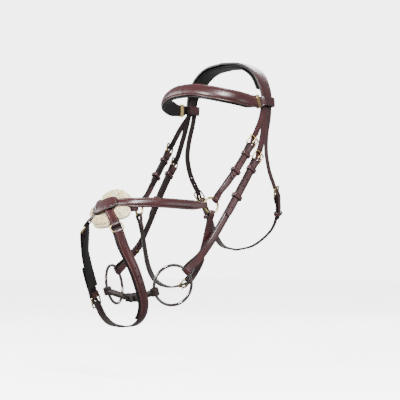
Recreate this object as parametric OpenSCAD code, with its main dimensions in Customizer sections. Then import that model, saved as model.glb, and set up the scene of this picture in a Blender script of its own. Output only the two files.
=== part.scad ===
/* [Leather] */
// Width of the cheekpieces and their billets
cheek_w = 14; // [12:0.5:18]
// Width of the noseband hangers and their billets
hanger_w = 13; // [11:0.5:16]
// Width of the throat lash and its billets
throat_w = 12; // [10:0.5:16]
// Width of the crossing nose straps
nose_w = 17; // [14:0.5:22]
// Width of the chin straps
chin_w = 17; // [14:0.5:22]
// Width of the jaw straps
jaw_w = 14; // [12:0.5:18]
// Width of the crown over the poll
crown_w = 36; // [30:1:44]
// Width of the browband at its middle
browband_w = 25; // [18:1:32]
// Thickness of a single billet
billet_t = 2.4; // [2:0.1:3.5]
// Thickness of a doubled strap
strap_t = 4; // [3:0.1:5]

/* [Bit] */
// Radius of the loose ring centreline
ring_r = 33.5; // [30:0.5:40]
// Thickness of the loose ring wire
ring_wire = 5; // [4:0.5:7]
// Half the mouth width, from the middle to one bore
mouth_half = 57; // [52:0.5:65]
// Diameter of the bore in each mouthpiece eye
bore_d = 7.4; // [7.2:0.1:9]

/* [Fittings] */
// Thickness of the buckle wire
buckle_wire = 2.8; // [2.2:0.1:3.5]
// Length of a buckle from bar to bar
buckle_len = 18; // [14:0.5:24]
// Centreline radius of the noseband cheek ring
cheek_ring_r = 13; // [11:0.5:18]
// Wire thickness of the noseband cheek ring
cheek_ring_wire = 4; // [3:0.5:5]
// Radius of the sheepskin nose pad
pad_r = 47; // [36:1:56]

/* [Hidden] */
$fn = 32;

// Strap lines on the left side: x, y, z, outward turn and outward tilt in degrees
crown_line = [
    [0, 0, 0, 0, 90], [40, 0, -5, 0, 70], [70, 1, -23, 0, 45],
    [87, 0, -53, 0, 18], [92, 0, -84, 2, 6], [94, -2, -112, 4, 2]
];
cheek_line = [
    [90, -4, -70, 2, 10], [94, -9, -100, 4, 5], [98, -18, -134, 6, 0],
    [100, -32, -170, 8, 0], [99, -57, -207, 10, 0], [95.5, -85, -248, 12, 0],
    [90, -116, -294, 15, 0], [86, -144, -331, 17, 0], [87, -171, -356, 12, 2]
];
hanger_line = [
    [0, 0, 0, 0, 90], [40, 0, -5, 0, 70], [70, 0, -23, 0, 45],
    [87, -1, -53, 0, 18], [92, -8, -85, 4, 8], [98, -26, -115, 6, 0],
    [99.5, -47, -147, 8, 0], [98.5, -70, -180, 12, 0], [95, -98, -215, 14, 0],
    [91, -122, -242, 16, 0]
];
throat_line = [
    [90, 9, -70, -2, 10], [92.5, 5, -100, -5, 4], [94.5, -4, -134, -6, 0],
    [96, -7, -166, -8, 0], [95.5, 2, -200, -10, 0], [93.5, 20, -230, -12, -2],
    [89, 34, -258, -16, -8], [81, 40, -284, -22, -20], [68, 37, -308, -28, -42],
    [38, 27, -332, -20, -72], [0, 23, -340, 0, -90]
];
nose_line = [
    [85, -166, -267, 21, 1], [80, -196, -266, 24, 3], [67, -243, -264, 32, 10],
    [46, -281, -264, 46, 22], [23, -299, -264.5, 66, 35], [0, -306, -269.5, 90, 42],
    [-20.5, -311.2, -284.5, 116, 34], [-36, -315.2, -301.3, 142, 16]
];
chin_line = [
    [42.7, -315.2, -311.3, 36, 11], [51.5, -309, -339, 25, 6], [59, -293, -374, 14, 1],
    [60.5, -279, -407, 9, -3], [57, -269, -432, 5, -14], [47, -265, -453, -2, -40],
    [28, -264, -466, -10, -68], [0, -264, -470, 0, -90]
];
jaw_line = [
    [86, -143, -290, 18, 0], [79, -142, -315, 17, -4], [70, -144, -346, 16, -12],
    [59, -147, -371, 12, -28], [43, -150, -391, 5, -50], [22, -152, -402, 0, -72],
    [0, -153, -406, 0, -90]
];
brow_line = [
    [93, -19, -77, 1, 8], [95.5, -42, -78, 12, 9], [90, -72, -74, 26, 13],
    [74, -95, -69, 46, 19], [50, -111, -63, 66, 25], [25, -118, -58, 80, 28],
    [0, -120, -57, 90, 29]
];

// Stations along the lines
cheek_buckle_u = 3.41;
hanger_buckle_u = 6.36;
throat_buckle_u = 5.48;
chin_buckle_u = 3.5;
jaw_buckle_u = 4.1;
brow_loop_u = 3.72;
nose_ring_p = [88, -142.5, -266];
// Directions on the pad in which the four straps leave the crossing
strap_spokes = [21, 159, 224, 316];
// Height of the pad against its width
pad_squash = 0.87;
patch_lean = 29;
loop_half = 6;
bit_pin = [0, -0.358, 0.934];
bit_tilt = 25;
bit_bore_p = [57, -246.5, -411.5];

function unit(v) = v / norm(v);
function flip(v, s) = [s * v[0], v[1], v[2]];
function spline(a, b, c, d, t) =
    0.5 * (2 * b + (c - a) * t + (2 * a - 5 * b + 4 * c - d) * t * t
    + (3 * b - a - 3 * c + d) * t * t * t);
function along(r, u) =
    let(n = len(r) - 1, i = max(0, min(floor(u), n - 1)))
    let(b = r[i], c = r[i + 1])
    let(a = i > 0 ? r[i - 1] : 2 * b - c, d = i + 2 > n ? 2 * c - b : r[i + 2])
    spline(a, b, c, d, u - i);
function point(r, u) = let(q = along(r, u)) [q[0], q[1], q[2]];
function travel(r, u) = unit(point(r, u + 0.01) - point(r, u - 0.01));
function outward(r, u) =
    let(q = along(r, u), t = travel(r, u))
    let(n = [cos(q[3]) * cos(q[4]), -sin(q[3]) * cos(q[4]), sin(q[4])])
    unit(n - (n * t) * t);
// A frame is its point, its outward direction and its direction of travel
function frame(r, u, s) = [flip(point(r, u), s), flip(outward(r, u), s), flip(travel(r, u), s)];
function shifted(f, n, d) = [f[0] + n * f[1] + d * f[2], f[1], f[2]];
// A section is its centre, outward direction, width direction, width and thickness
function section(f, n, w, t) = [f[0] + n * f[1], f[1], cross(f[2], f[1]), w, t];
function strap_sections(r, s, us, lift, w, t) =
    [for (u = us) section(frame(r, u, s), lookup(u, lift), lookup(u, w), lookup(u, t))];
function steps(a, b, n) = [for (i = [0 : n]) a + (b - a) * i / n];
// The inner leg of a turned end, facing the other way
function under_sections(r, s, us, lift, w, t) =
    [for (u = us) let(f = frame(r, u, s)) [f[0] + lift * f[1], -f[1], cross(f[2], f[1]), w, t]];
// The same sections taken in the other direction
function turned(secs) = [for (i = [len(secs) - 1 : -1 : 0])
    [secs[i][0], secs[i][1], -secs[i][2], secs[i][3], secs[i][4]]];
// Sections round a bar: f is the frame at the bar, from angle a to angle b off the outer face
function turn_sections(f, r, a, b, n, w, t) =
    [for (k = steps(a, b, n))
        let(out = cos(k) * f[1] + sin(k) * f[2])
        [f[0] + r * out, out, cross(f[2], f[1]), w, t]];

module ribbon(secs) {
    n = len(secs);
    pts = [for (s = secs)
        let(h = s[3] / 2, k = s[4] / 2)
        each [
            s[0] + h * s[2] + k * s[1], s[0] - h * s[2] + k * s[1],
            s[0] - h * s[2] - k * s[1], s[0] + h * s[2] - k * s[1]
        ]];
    sides = [for (i = [0 : n - 2], k = [0 : 3])
        [4 * i + k, 4 * i + (k + 1) % 4, 4 * i + 4 + (k + 1) % 4, 4 * i + 4 + k]];
    polyhedron(pts, concat([[3, 2, 1, 0]], sides, [[for (k = [0 : 3]) 4 * n - 4 + k]]), 12);
}

// Local axes: x across the strap, y back up the strap, z outward
module at_frame(f) {
    x = cross(f[1], f[2]);
    multmatrix([
        [x[0], -f[2][0], f[1][0], f[0][0]],
        [x[1], -f[2][1], f[1][1], f[0][1]],
        [x[2], -f[2][2], f[1][2], f[0][2]],
        [0, 0, 0, 1]
    ]) children();
}

module box(w, l, h) {
    translate([-w / 2, -l / 2, -h / 2]) cube([w, l, h]);
}

// One mesh out of overlapping pieces
module joined() {
    resize([0, 0, 0]) children();
}

module slot_cut(f, lo, hi, zlo, zhi) {
    at_frame(f) translate([0, (lo + hi) / 2, (zlo + zhi) / 2]) box(3.4, hi - lo, zhi - zlo);
}

module buckle(f, w, tilt = 13, len = buckle_len) {
    r = buckle_wire / 2;
    hw = w / 2 + 1.3 + r;
    c = 3.2;
    color("#d9b466") at_frame(f) rotate([tilt, 0, 0]) {
        rotate([0, 90, 0]) translate([0, 0, c - hw]) cylinder(r = r, h = 2 * (hw - c));
        translate([0, len, 0]) rotate([0, 90, 0]) translate([0, 0, c - hw])
            cylinder(r = r, h = 2 * (hw - c));
        for (s = [-1, 1]) {
            translate([s * hw, c, 0]) rotate([-90, 0, 0]) cylinder(r = r, h = len - 2 * c);
        }
        translate([hw - c, c, 0]) rotate([0, 0, 270]) rotate_extrude(angle = 90)
            translate([c, 0]) circle(r);
        translate([hw - c, len - c, 0]) rotate([0, 0, 0]) rotate_extrude(angle = 90)
            translate([c, 0]) circle(r);
        translate([c - hw, len - c, 0]) rotate([0, 0, 90]) rotate_extrude(angle = 90)
            translate([c, 0]) circle(r);
        translate([c - hw, c, 0]) rotate([0, 0, 180]) rotate_extrude(angle = 90)
            translate([c, 0]) circle(r);
    }
}

module rod(a, b, r, sides = 32) {
    d = b - a;
    translate(a) rotate([0, acos(d[2] / norm(d)), atan2(d[1], d[0])])
        cylinder(r = r, h = norm(d), $fn = sides);
}

module prong(f, tilt = 13, len = buckle_len) {
    r = 0.9;
    knee = [0, 7, 5.9];
    tip = [0, len + 2, 7.9];
    color("#d9b466") at_frame(f) rotate([tilt - 13, 0, 0]) joined() {
        rotate([0, 90, 0]) difference() {
            translate([0, 0, -1.1]) cylinder(r = 3.3, h = 2.2);
            translate([0, 0, -2]) cylinder(r = 1.7, h = 4);
        }
        rod([0, 1.4, 2.3], knee, r, 12);
        translate(knee) sphere(r, $fn = 12);
        rod(knee, tip, r, 12);
        translate(tip) sphere(r, $fn = 12);
    }
}

// A leather band round a stack, reaching from lo to hi off the line
module keeper(f, w, lo, hi, len = 9) {
    t = 1.8;
    at_frame(f) translate([0, 0, (lo + hi) / 2]) difference() {
        box(w + 2 * t, len, hi - lo + 2 * t);
        box(w, len + 2, hi - lo);
    }
}

// Crown, lining and sliphead
module crown() {
    us = steps(-3.9, 3.9, 40);
    cw = [[0, crown_w], [2, crown_w - 2], [3, 29], [3.4, 27], [4, 27]];
    color("#4a1f1c") joined() difference() {
        union() {
            ribbon([for (u = us)
                let(s = u < 0 ? -1 : 1, f = frame(crown_line, abs(u), 1))
                [flip(f[0] + 2.4 * f[1], s), flip(f[1], s), [0, -1, 0], lookup(abs(u), cw), 4.4]]);
            for (s = [-1, 1]) {
                ribbon(strap_sections(cheek_line, s,
                    concat(steps(0.2, 2.6, 9), steps(2.7, 4.1, 12), steps(4.3, 5.75, 5)),
                    [[0, 1.8], [2, 1], [3, 0.8], [3.3, 4.9], [3.5, 4.9], [3.76, 3.5], [7, 3.5]],
                    [[0, cheek_w - 1]], [[0, billet_t]]));
                ribbon(strap_sections(throat_line, s,
                    concat(steps(0.2, 4.7, 13), steps(4.8, 6.2, 12), steps(6.4, 7, 3)),
                    [[0, 1.8], [2, 1], [4.96, 1], [5.36, 4.9], [5.6, 4.9], [5.86, 3.5], [8, 3.5]],
                    [[0, throat_w - 1]], [[0, billet_t]]));
            }
        }
        for (s = [-1, 1]) {
            slot_cut(frame(cheek_line, cheek_buckle_u, s), -2.5, 10, 1, 9);
            slot_cut(frame(throat_line, throat_buckle_u, s), -2.5, 10, 1, 9);
        }
    }
}

module crown_lining() {
    us = steps(-2.9, 2.9, 28);
    color("#1d1512") ribbon([for (u = us)
        let(s = u < 0 ? -1 : 1, f = frame(crown_line, abs(u), 1))
        [flip(f[0] - 4.6 * f[1], s), flip(f[1], s), [0, -1, 0], 38 - abs(u) * 2, 4.4]]);
}

function sliphead_side(s) = strap_sections(hanger_line, s,
    concat(steps(0, 5.4, 22), steps(5.6, 7, 12), steps(7.2, 8.1, 4)),
    [[0, -1.3], [4, -1.3], [4.8, 1], [5.9, 1], [6.26, 4.9], [6.46, 4.9], [6.72, 3.5], [9, 3.5]],
    [[0, 22], [2.5, 20], [3.4, hanger_w - 1], [9, hanger_w - 1]], [[0, billet_t]]);
module sliphead() {
    left = sliphead_side(1);
    color("#4a1f1c") joined() difference() {
        ribbon(concat(turned(sliphead_side(-1)), [for (i = [1 : len(left) - 1]) left[i]]));
        for (s = [-1, 1]) {
            slot_cut(frame(hanger_line, hanger_buckle_u, s), -2.5, 10, 1, 9);
        }
    }
}

// Browband
function brow_side(s) = strap_sections(brow_line, s, concat([0, 0.15], steps(0.4, 5.8, 24)), [[0, 0]],
    [[0, 19], [0.5, 20.5], [1.3, browband_w - 1], [3, browband_w], [6, browband_w]],
    [[0, 3], [0.6, 4], [1.6, 6], [6, 6]]);
function loop_path(s) =
    let(f = frame(crown_line, brow_loop_u, s), b = [0, -1, 0])
    [for (q = [[-12, -4.6, -90], [12, -4.6, -90], [15.5, -3.4, -45], [16.6, 0, 0], [16.6, 3, 0],
        [15.5, 6.6, 45], [12, 7.6, 90], [0, 7.6, 90], [-12, 7.4, 90]])
        let(out = sin(q[2]) * f[1] - cos(q[2]) * b)
        [f[0] - q[0] * b + q[1] * f[1], out, -s * f[2], 17, 2]];
module browband() {
    mid = section(frame(brow_line, 6, 1), 0, browband_w, 6);
    half = concat(loop_path(1), brow_side(1), [mid]);
    other = turned(concat(loop_path(-1), brow_side(-1)));
    color("#5a2622") joined() ribbon(concat(half, other));
}

module browband_lining() {
    wide = [[0.9, 21], [1.5, browband_w + 3], [6, browband_w + 4]];
    left = strap_sections(brow_line, 1, steps(0.95, 6, 18), [[0, -5.2]], wide, [[0, 4.6]]);
    right = strap_sections(brow_line, -1, steps(0.95, 5.7, 17), [[0, -5.2]], wide, [[0, 4.6]]);
    color("#1d1512") ribbon(concat(left, turned(right)));
}

module browband_clip(s) {
    f = frame(brow_line, 0.35, s);
    color("#d9b466") at_frame(f) difference() {
        box(23.4, 7, 6.8);
        box(20, 9, 3.8);
    }
}

// Cheekpieces
module cheekpiece(s) {
    bar = frame(cheek_line, cheek_buckle_u, s);
    e = bit_loop_frame(s);
    color("#4a1f1c") joined() difference() {
        ribbon(concat(
            under_sections(cheek_line, s, [3.71, 3.61, 3.51], -2.6, cheek_w, 1.8),
            turn_sections(bar, 2.6, 180, 360, 8, cheek_w, 1.8),
            strap_sections(cheek_line, s, concat([3.51, 3.61, 3.71], steps(3.86, 8, 24)),
                [[3.41, 2.6], [3.76, 0], [9, 0]], [[3, cheek_w], [7.2, cheek_w], [8, cheek_w + 1]],
                [[3.41, 1.8], [3.76, strap_t], [9, strap_t - 0.6]]),
            turn_sections(e, 4.3, 0, 180, 10, cheek_w, 2),
            under_sections(cheek_line, s, [7.75, 7.5, 7.2, 6.95], -3.2, cheek_w, 2)));
        slot_cut(bar, -4.4, 4.4, -4.4, 4.4);
    }
}

// The loop round the bit ring: centre of the wire, outward and downward directions
function bit_rad(s) = let(k = cross(bit_pin, [1, 0, 0]), b = k[1] < 0 ? -k : k)
    flip(cos(bit_tilt) * b + sin(bit_tilt) * [1, 0, 0], s);
function bit_centre(s) = flip(bit_bore_p, s) + ring_r * bit_rad(s);
function bit_normal(s) = let(n = cross(bit_rad(s), bit_pin)) n[0] * s < 0 ? -n : n;
function bit_loop_frame(s) =
    let(e = cos(28) * bit_rad(1) + sin(28) * bit_pin, w = cross(-e, bit_normal(1)))
    let(d = [0.06, -0.73, -0.68], t = unit(d - (d * w) * w), n = cross(w, t))
    [flip(bit_centre(1) + (ring_r - 0.45) * e, s), flip(n, s), flip(t, s)];

// Fixed keepers grip the strap they are sewn to; runners slide on both layers
module cheek_keeper(s) {
    color("#4a1f1c") keeper(frame(cheek_line, 3.83, s), cheek_w + 0.4, -1.7, 5, 8);
}
module cheek_runner(s) {
    color("#4a1f1c") keeper(frame(cheek_line, 5.03, s), cheek_w + 1.4, -2.7, 5.5, 8);
}
module hanger_keeper(s) {
    color("#4a1f1c") keeper(frame(hanger_line, 6.85, s), hanger_w + 0.4, -1.7, 5, 7);
}
module hanger_runner(s) {
    color("#4a1f1c") keeper(frame(hanger_line, 7.7, s), hanger_w + 1.4, -2.7, 5.5, 7);
}
module throat_runner(s) {
    color("#4a1f1c") keeper(frame(throat_line, 6.6, s), throat_w + 1.6, -2.6, 5.6, 7);
}

module stud(s) {
    f = frame(cheek_line, 7.4, s);
    color("#d9b466") at_frame(f) {
        translate([0, 0, -7.4]) cylinder(r = 1.5, h = 4);
        translate([0, 0, -8.6]) cylinder(r = 3.4, h = 1.4);
    }
}

// Noseband
function ring_normal(s) = flip([cos(18), -sin(18), 0], s);
// A point on the cheek ring wire; the strap there runs straight away from the ring
function ring_point(s, a) =
    let(h = flip([-sin(18), -cos(18), 0], s), e = cos(a) * h + sin(a) * [0, 0, 1])
    [flip(nose_ring_p, s) + (cheek_ring_r - 0.5) * e, ring_normal(s), e];
function away(f) = [f[0], f[1], -f[2]];

module hanger(s) {
    bar = frame(hanger_line, hanger_buckle_u, s);
    color("#4a1f1c") joined() difference() {
        ribbon(concat(
            under_sections(hanger_line, s, [6.72, 6.61, 6.5], -2.6, hanger_w, 1.8),
            turn_sections(bar, 2.6, 180, 360, 8, hanger_w, 1.8),
            strap_sections(hanger_line, s, concat([6.5, 6.61, 6.72], steps(6.86, 9, 17)),
                [[6.36, 2.6], [6.76, 0], [9, 0]], [[0, hanger_w], [8.4, hanger_w], [9, 10.5]],
                [[6.36, 1.8], [6.76, strap_t], [8.4, strap_t], [9, 2.4]]),
            turn_sections(away(ring_point(s, 130)), 3.8, 0, 180, 8, 10, 1.8),
            under_sections(hanger_line, s, [8.95, 8.7, 8.4], -3.2, 10, 1.8)));
        slot_cut(bar, -4.4, 4.4, -4.4, 4.4);
    }
}

module cheek_ring(s) {
    f = ring_point(s, 0);
    color("#d9b466") at_frame([flip(nose_ring_p, s), f[1], f[2]])
        rotate_extrude() translate([cheek_ring_r, 0]) circle(cheek_ring_wire / 2);
}

// The brass loop between a nose strap and a chin strap
function link_frame(s) =
    let(t = unit([7, 0, -10]), y = 38, p = 13)
    let(n = [cos(y) * cos(p), -sin(y) * cos(p), sin(p)])
    [flip([39.3, -315.2, -306.3], s), flip(unit(n - (n * t) * t), s), flip(t, s)];

module nose_strap(s) {
    top = shifted(link_frame(-s), 0, -loop_half);
    color("#5a2622") joined() ribbon(concat(
        under_sections(nose_line, s, [0.5, 0.3, 0.1], -3.2, 11, 1.8),
        turn_sections(ring_point(s, 0), 3.8, 180, 360, 8, 10, 1.8),
        strap_sections(nose_line, s, concat(steps(0.1, 6.4, 30), [6.6, 6.8]),
            [[0, 0.8], [0.5, -0.2], [0.9, -1.2], [3.6, -1.2], [4.2, 0], [6.3, 0], [6.6, 1.9], [6.8, 2.6]],
            [[0, 12], [0.5, nose_w], [3, nose_w], [4.5, nose_w - 2], [6.8, nose_w - 2]],
            [[0, 2.4], [0.5, 4], [0.9, 6], [3.6, 6], [4.2, 3], [6.3, 3], [6.8, 1.8]]),
        turn_sections(top, 2.7, 0, 180, 8, nose_w - 2, 1.8),
        under_sections(nose_line, s, [6.8, 6.6, 6.4], -2.7, nose_w - 2, 1.8)));
}

// The sheepskin pad, laid over the nose: x to the left, y up the nose, z outward
module at_pad() {
    f = frame(nose_line, 5, 1);
    y = cross(f[1], [1, 0, 0]);
    multmatrix([
        [1, y[0], f[1][0], f[0][0]],
        [0, y[1], f[1][1], f[0][1]],
        [0, y[2], f[1][2], f[0][2]],
        [0, 0, 0, 1]
    ]) children();
}
// A point over the pad: x across the nose, y up it, lift outward
function pad_point(x, y, lift) =
    let(v = pad_squash * y)
    [x, v, lift - x * x / 200 - v * v / (v < 0 ? 220 : 900)];
function ramp(v, a, b) = max(0, min(1, (v - a) / (b - a)));
// How far a spoke is from the nearest strap, across the strap
function strap_gap(r, a) =
    min([for (k = strap_spokes) cos(a - k) > 0 ? abs(r * sin(a - k)) : r]);
function pad_edge(a) = pad_r * (0.8 + 0.2 * ramp(strap_gap(pad_r, a), 0, 20));
function pad_swell(r, a) = 6.5 * ramp(strap_gap(r, a), 8, 15) * ramp(r, 19, 30);
module nose_fleece() {
    spokes = 48;
    rings = 9;
    top = [for (q = [1 : rings], k = [0 : spokes - 1])
        let(a = 360 * k / spokes, r = pad_edge(a) * q / rings)
        pad_point(r * cos(a), r * sin(a), -3.6 + pad_swell(r, a) * (q < rings ? 1 : 0.35))];
    low = [for (q = [1 : rings], k = [0 : spokes - 1])
        let(a = 360 * k / spokes, r = pad_edge(a) * q / rings)
        pad_point(r * cos(a), r * sin(a), -14)];
    n = spokes * rings;
    color("#efe6d2") at_pad() polyhedron(concat([[0, 0, -3.6]], top, [[0, 0, -14]], low), concat(
        [for (k = [0 : spokes - 1]) [0, 1 + (k + 1) % spokes, 1 + k]],
        [for (q = [0 : rings - 2], k = [0 : spokes - 1], h = [0, 1])
            let(a = 1 + q * spokes + k, b = 1 + q * spokes + (k + 1) % spokes)
            h == 0 ? [a, b, b + spokes] : [a, b + spokes, a + spokes]],
        [for (k = [0 : spokes - 1]) [n + 1, n + 2 + k, n + 2 + (k + 1) % spokes]],
        [for (q = [0 : rings - 2], k = [0 : spokes - 1], h = [0, 1])
            let(a = n + 2 + q * spokes + k, b = n + 2 + q * spokes + (k + 1) % spokes)
            h == 0 ? [a, b + spokes, b] : [a, a + spokes, b + spokes]],
        [for (k = [0 : spokes - 1], h = [0, 1])
            let(a = 1 + n - spokes + k, b = 1 + n - spokes + (k + 1) % spokes)
            h == 0 ? [a, b, b + n + 1] : [a, b + n + 1, a + n + 1]]
    ), 12);
}

// The leather patch over the crossing, longer towards the near upper and far lower straps
module nose_patch() {
    spokes = 40;
    rings = 4;
    top = [for (q = [1 : rings], k = [0 : spokes - 1])
        let(a = 360 * k / spokes, r = q / rings * patch_edge(a))
        patch_point(r, a, 4.6)];
    low = [for (k = [0 : spokes - 1]) let(a = 360 * k / spokes) patch_point(patch_edge(a), a, 2)];
    mid = [for (k = [0 : spokes - 1]) let(a = 360 * k / spokes) patch_point(patch_edge(a) / 2, a, 2)];
    n = spokes * rings;
    color("#4a1f1c") at_pad() polyhedron(concat([[0, 0, 4.6]], top, low, mid, [[0, 0, 2]]), concat(
        [for (k = [0 : spokes - 1]) [0, 1 + (k + 1) % spokes, 1 + k]],
        [for (q = [0 : rings], k = [0 : spokes - 1], h = [0, 1])
            let(a = 1 + q * spokes + k, b = 1 + q * spokes + (k + 1) % spokes)
            h == 0 ? [a, b, b + spokes] : [a, b + spokes, a + spokes]],
        [for (k = [0 : spokes - 1])
            [n + 1 + 2 * spokes, n + 1 + spokes + k, n + 1 + spokes + (k + 1) % spokes]]
    ), 12);
}
function patch_edge(a) = pow(pow(abs(cos(a)) / 27, 2.6) + pow(abs(sin(a)) / 16.5, 2.6), -1 / 2.6);
function patch_point(r, a, lift) =
    pad_point(r * cos(a + patch_lean), r * sin(a + patch_lean), lift);

module nose_rivet() {
    p = patch_point(17, 180, 4.4);
    color("#d9b466") at_pad() translate(p)
        rotate_extrude() polygon([[0, 0], [2.6, 0], [2.4, 0.7], [1.8, 1.2], [1, 1.5], [0, 1.6]]);
}

module chin_loop(s) {
    r = 1.5;
    hw = 10.4;
    hl = loop_half;
    c = 3;
    color("#d9b466") at_frame(link_frame(s)) {
        for (k = [-1, 1]) {
            translate([c - hw, k * hl, 0]) rotate([0, 90, 0]) cylinder(r = r, h = 2 * (hw - c));
            translate([k * hw, c - hl, 0]) rotate([-90, 0, 0]) cylinder(r = r, h = 2 * (hl - c));
        }
        for (q = [[1, 1, 0], [-1, 1, 90], [-1, -1, 180], [1, -1, 270]]) {
            translate([q[0] * (hw - c), q[1] * (hl - c), 0]) rotate([0, 0, q[2]])
                rotate_extrude(angle = 90) translate([c, 0]) circle(r);
        }
    }
}

function chin_top(s) = concat(
    under_sections(chin_line, s, [0.62, 0.4, 0.2], -2.8, chin_w - 2, 1.8),
    turn_sections(shifted(link_frame(s), 0, loop_half), 2.7, 180, 360, 8, chin_w - 2, 1.8));

module chin_strap_left() {
    w = [[0, chin_w - 2], [1.2, chin_w], [8, chin_w]];
    bw = [[0, chin_w - 1]];
    color("#4a1f1c") joined() difference() {
        ribbon(concat(chin_top(1),
            strap_sections(chin_line, 1, concat([0.2, 0.4], steps(0.64, 7, 34)),
                [[0.2, 2.4], [0.64, 0.1], [0.8, 0]], w,
                [[0.2, 1.8], [0.64, 3.4], [0.9, strap_t], [5, strap_t], [6.5, billet_t]]),
            turned(strap_sections(chin_line, -1,
                concat(steps(1.9, 2.6, 5), steps(2.7, 4.2, 14), steps(4.4, 6.8, 12)),
                [[1.9, 3.5], [3.1, 3.5], [3.42, 5], [3.62, 5], [4.15, 1.4], [6, 0.4], [7, 0]],
                bw, [[0, billet_t]]))));
        slot_cut(away(frame(chin_line, chin_buckle_u, -1)), -2.5, 10, 1, 9);
    }
}

module chin_strap_right() {
    bar = frame(chin_line, chin_buckle_u, -1);
    color("#4a1f1c") joined() difference() {
        ribbon(concat(chin_top(-1),
            strap_sections(chin_line, -1, concat([0.2, 0.4], steps(0.64, 3.1, 14), [3.2, 3.3, 3.4]),
                [[0.2, 2.4], [0.64, 0.1], [0.8, 0], [3.1, 0], [3.5, 2.6]], [[0, chin_w - 2], [1.2, chin_w]],
                [[0.2, 1.8], [0.64, 3.4], [0.9, strap_t], [3.1, strap_t], [3.5, 1.8]]),
            turn_sections(bar, 2.6, 0, 180, 8, chin_w, 1.8),
            under_sections(chin_line, -1, [3.42, 3.3, 3.2], -2.6, chin_w, 1.8)));
        slot_cut(bar, -4.4, 4.4, -4.4, 4.4);
    }
}

// The black pad behind a chin strap, reaching up behind the brass loop
module chin_lining(s, us) {
    color("#1d1512") ribbon(strap_sections(chin_line, s, us,
        [[-0.3, -7], [0.8, -6.9], [1.25, -4.9], [8, -4.9]],
        [[-0.3, chin_w + 1], [0.6, chin_w + 3], [8, chin_w + 3]], [[-0.3, 4], [1.2, 5.2], [8, 5.2]]));
}

function jaw_top(s) = concat(
    under_sections(jaw_line, s, [0.5, 0.3, 0.1], -3.2, 10, 1.8),
    turn_sections(ring_point(s, 270), 3.8, 180, 360, 8, 10, 1.8));
jaw_widths = [[0, 10.5], [0.6, jaw_w], [8, jaw_w]];

module jaw_strap_left() {
    bar = frame(jaw_line, jaw_buckle_u, 1);
    color("#4a1f1c") joined() difference() {
        ribbon(concat(jaw_top(1),
            strap_sections(jaw_line, 1, concat(steps(0.1, 3.6, 18), [3.75, 3.9, 4]),
                [[0, 0.8], [0.5, 0], [3.6, 0], [4.1, 2.6]], jaw_widths,
                [[0, 2], [0.6, 3.4], [3.6, 3.4], [4.1, 1.8]]),
            turn_sections(bar, 2.6, 0, 180, 8, jaw_w, 1.8),
            under_sections(jaw_line, 1, [4, 3.85, 3.7], -2.6, jaw_w, 1.8)));
        slot_cut(bar, -4.4, 4.4, -4.4, 4.4);
    }
}

module jaw_strap_right() {
    color("#4a1f1c") joined() difference() {
        ribbon(concat(jaw_top(-1),
            strap_sections(jaw_line, -1, steps(0.1, 6, 28), [[0, 0.8], [0.5, 0]], jaw_widths,
                [[0, 2], [0.6, 3.4], [5, 3.4], [6, billet_t]]),
            turned(strap_sections(jaw_line, 1, concat(steps(2.2, 3.2, 6), steps(3.4, 4.9, 12), [5.2, 5.6]),
                [[2.2, 3.4], [3.4, 3.4], [4, 5], [4.2, 5], [4.8, 1], [5.6, 0.5], [6, 0]],
                [[0, jaw_w - 1]], [[0, billet_t]]))));
        slot_cut(away(frame(jaw_line, jaw_buckle_u, 1)), -2.5, 10, 1, 9);
    }
}

// Throat lash
function throat_fold(s) = let(u = throat_buckle_u) concat(
    under_sections(throat_line, s, [u + 0.42, u + 0.25, u + 0.1], -2.6, throat_w, 1.8),
    turn_sections(frame(throat_line, u, s), 2.6, 180, 360, 8, throat_w, 1.8),
    strap_sections(throat_line, s, concat([u + 0.1, u + 0.25], steps(u + 0.45, 9.8, 30)),
        [[u, 2.6], [u + 0.42, 0]], [[0, throat_w]], [[u, 1.8], [u + 0.42, 3.4], [8, 3.4], [9, 3]]));
module throat_lash() {
    color("#4a1f1c") joined() difference() {
        ribbon(concat(
            throat_fold(1), strap_sections(throat_line, 1, [10], [[0, 0]], [[0, throat_w]], [[0, 3]]),
            turned(throat_fold(-1))));
        for (s = [-1, 1]) {
            slot_cut(frame(throat_line, throat_buckle_u, s), -4.4, 4.4, -4.4, 4.4);
        }
    }
}

// Bit
module bit_ring(s) {
    n = bit_normal(s);
    color("#b9bcc0") at_frame([bit_centre(s), n, bit_rad(s)])
        rotate_extrude() translate([ring_r, 0]) circle(ring_wire / 2);
}

// Local axes: x toward the middle of the mouth, z along the bore
module at_bore(s) {
    y = cross(bit_pin, [-s, 0, 0]);
    o = flip(bit_bore_p, s);
    multmatrix([
        [-s, y[0], bit_pin[0], o[0]],
        [0, y[1], bit_pin[1], o[1]],
        [0, y[2], bit_pin[2], o[2]],
        [0, 0, 0, 1]
    ]) children();
}

module mouthpiece(s) {
    pivot = mouth_half - 12;
    color("#2a1a15") at_bore(s) difference() {
        union() {
            translate([0, 0, -6]) cylinder(r = 7.2, h = 12);
            rod([4, 0, -1.2], [pivot - 5, 0, -9.8], 5.4);
            translate([pivot - 5, 0, -9.8]) sphere(5.4);
            translate([pivot - 8, 0, -11]) translate([0, -3.4, -3.4]) cube([8, 6.8, 6.8]);
            translate([pivot, 0, -14.5]) cylinder(r = 4.6, h = 7);
        }
        translate([0, 0, -8]) cylinder(d = bore_d, h = 16);
        translate([pivot, 0, -20]) cylinder(r = 2.2, h = 16);
        translate([pivot - 5.8, -8, -7.4]) cube([14, 16, 8]);
        translate([pivot - 5.8, -8, -19]) cube([14, 16, 4.4]);
    }
}

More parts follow.
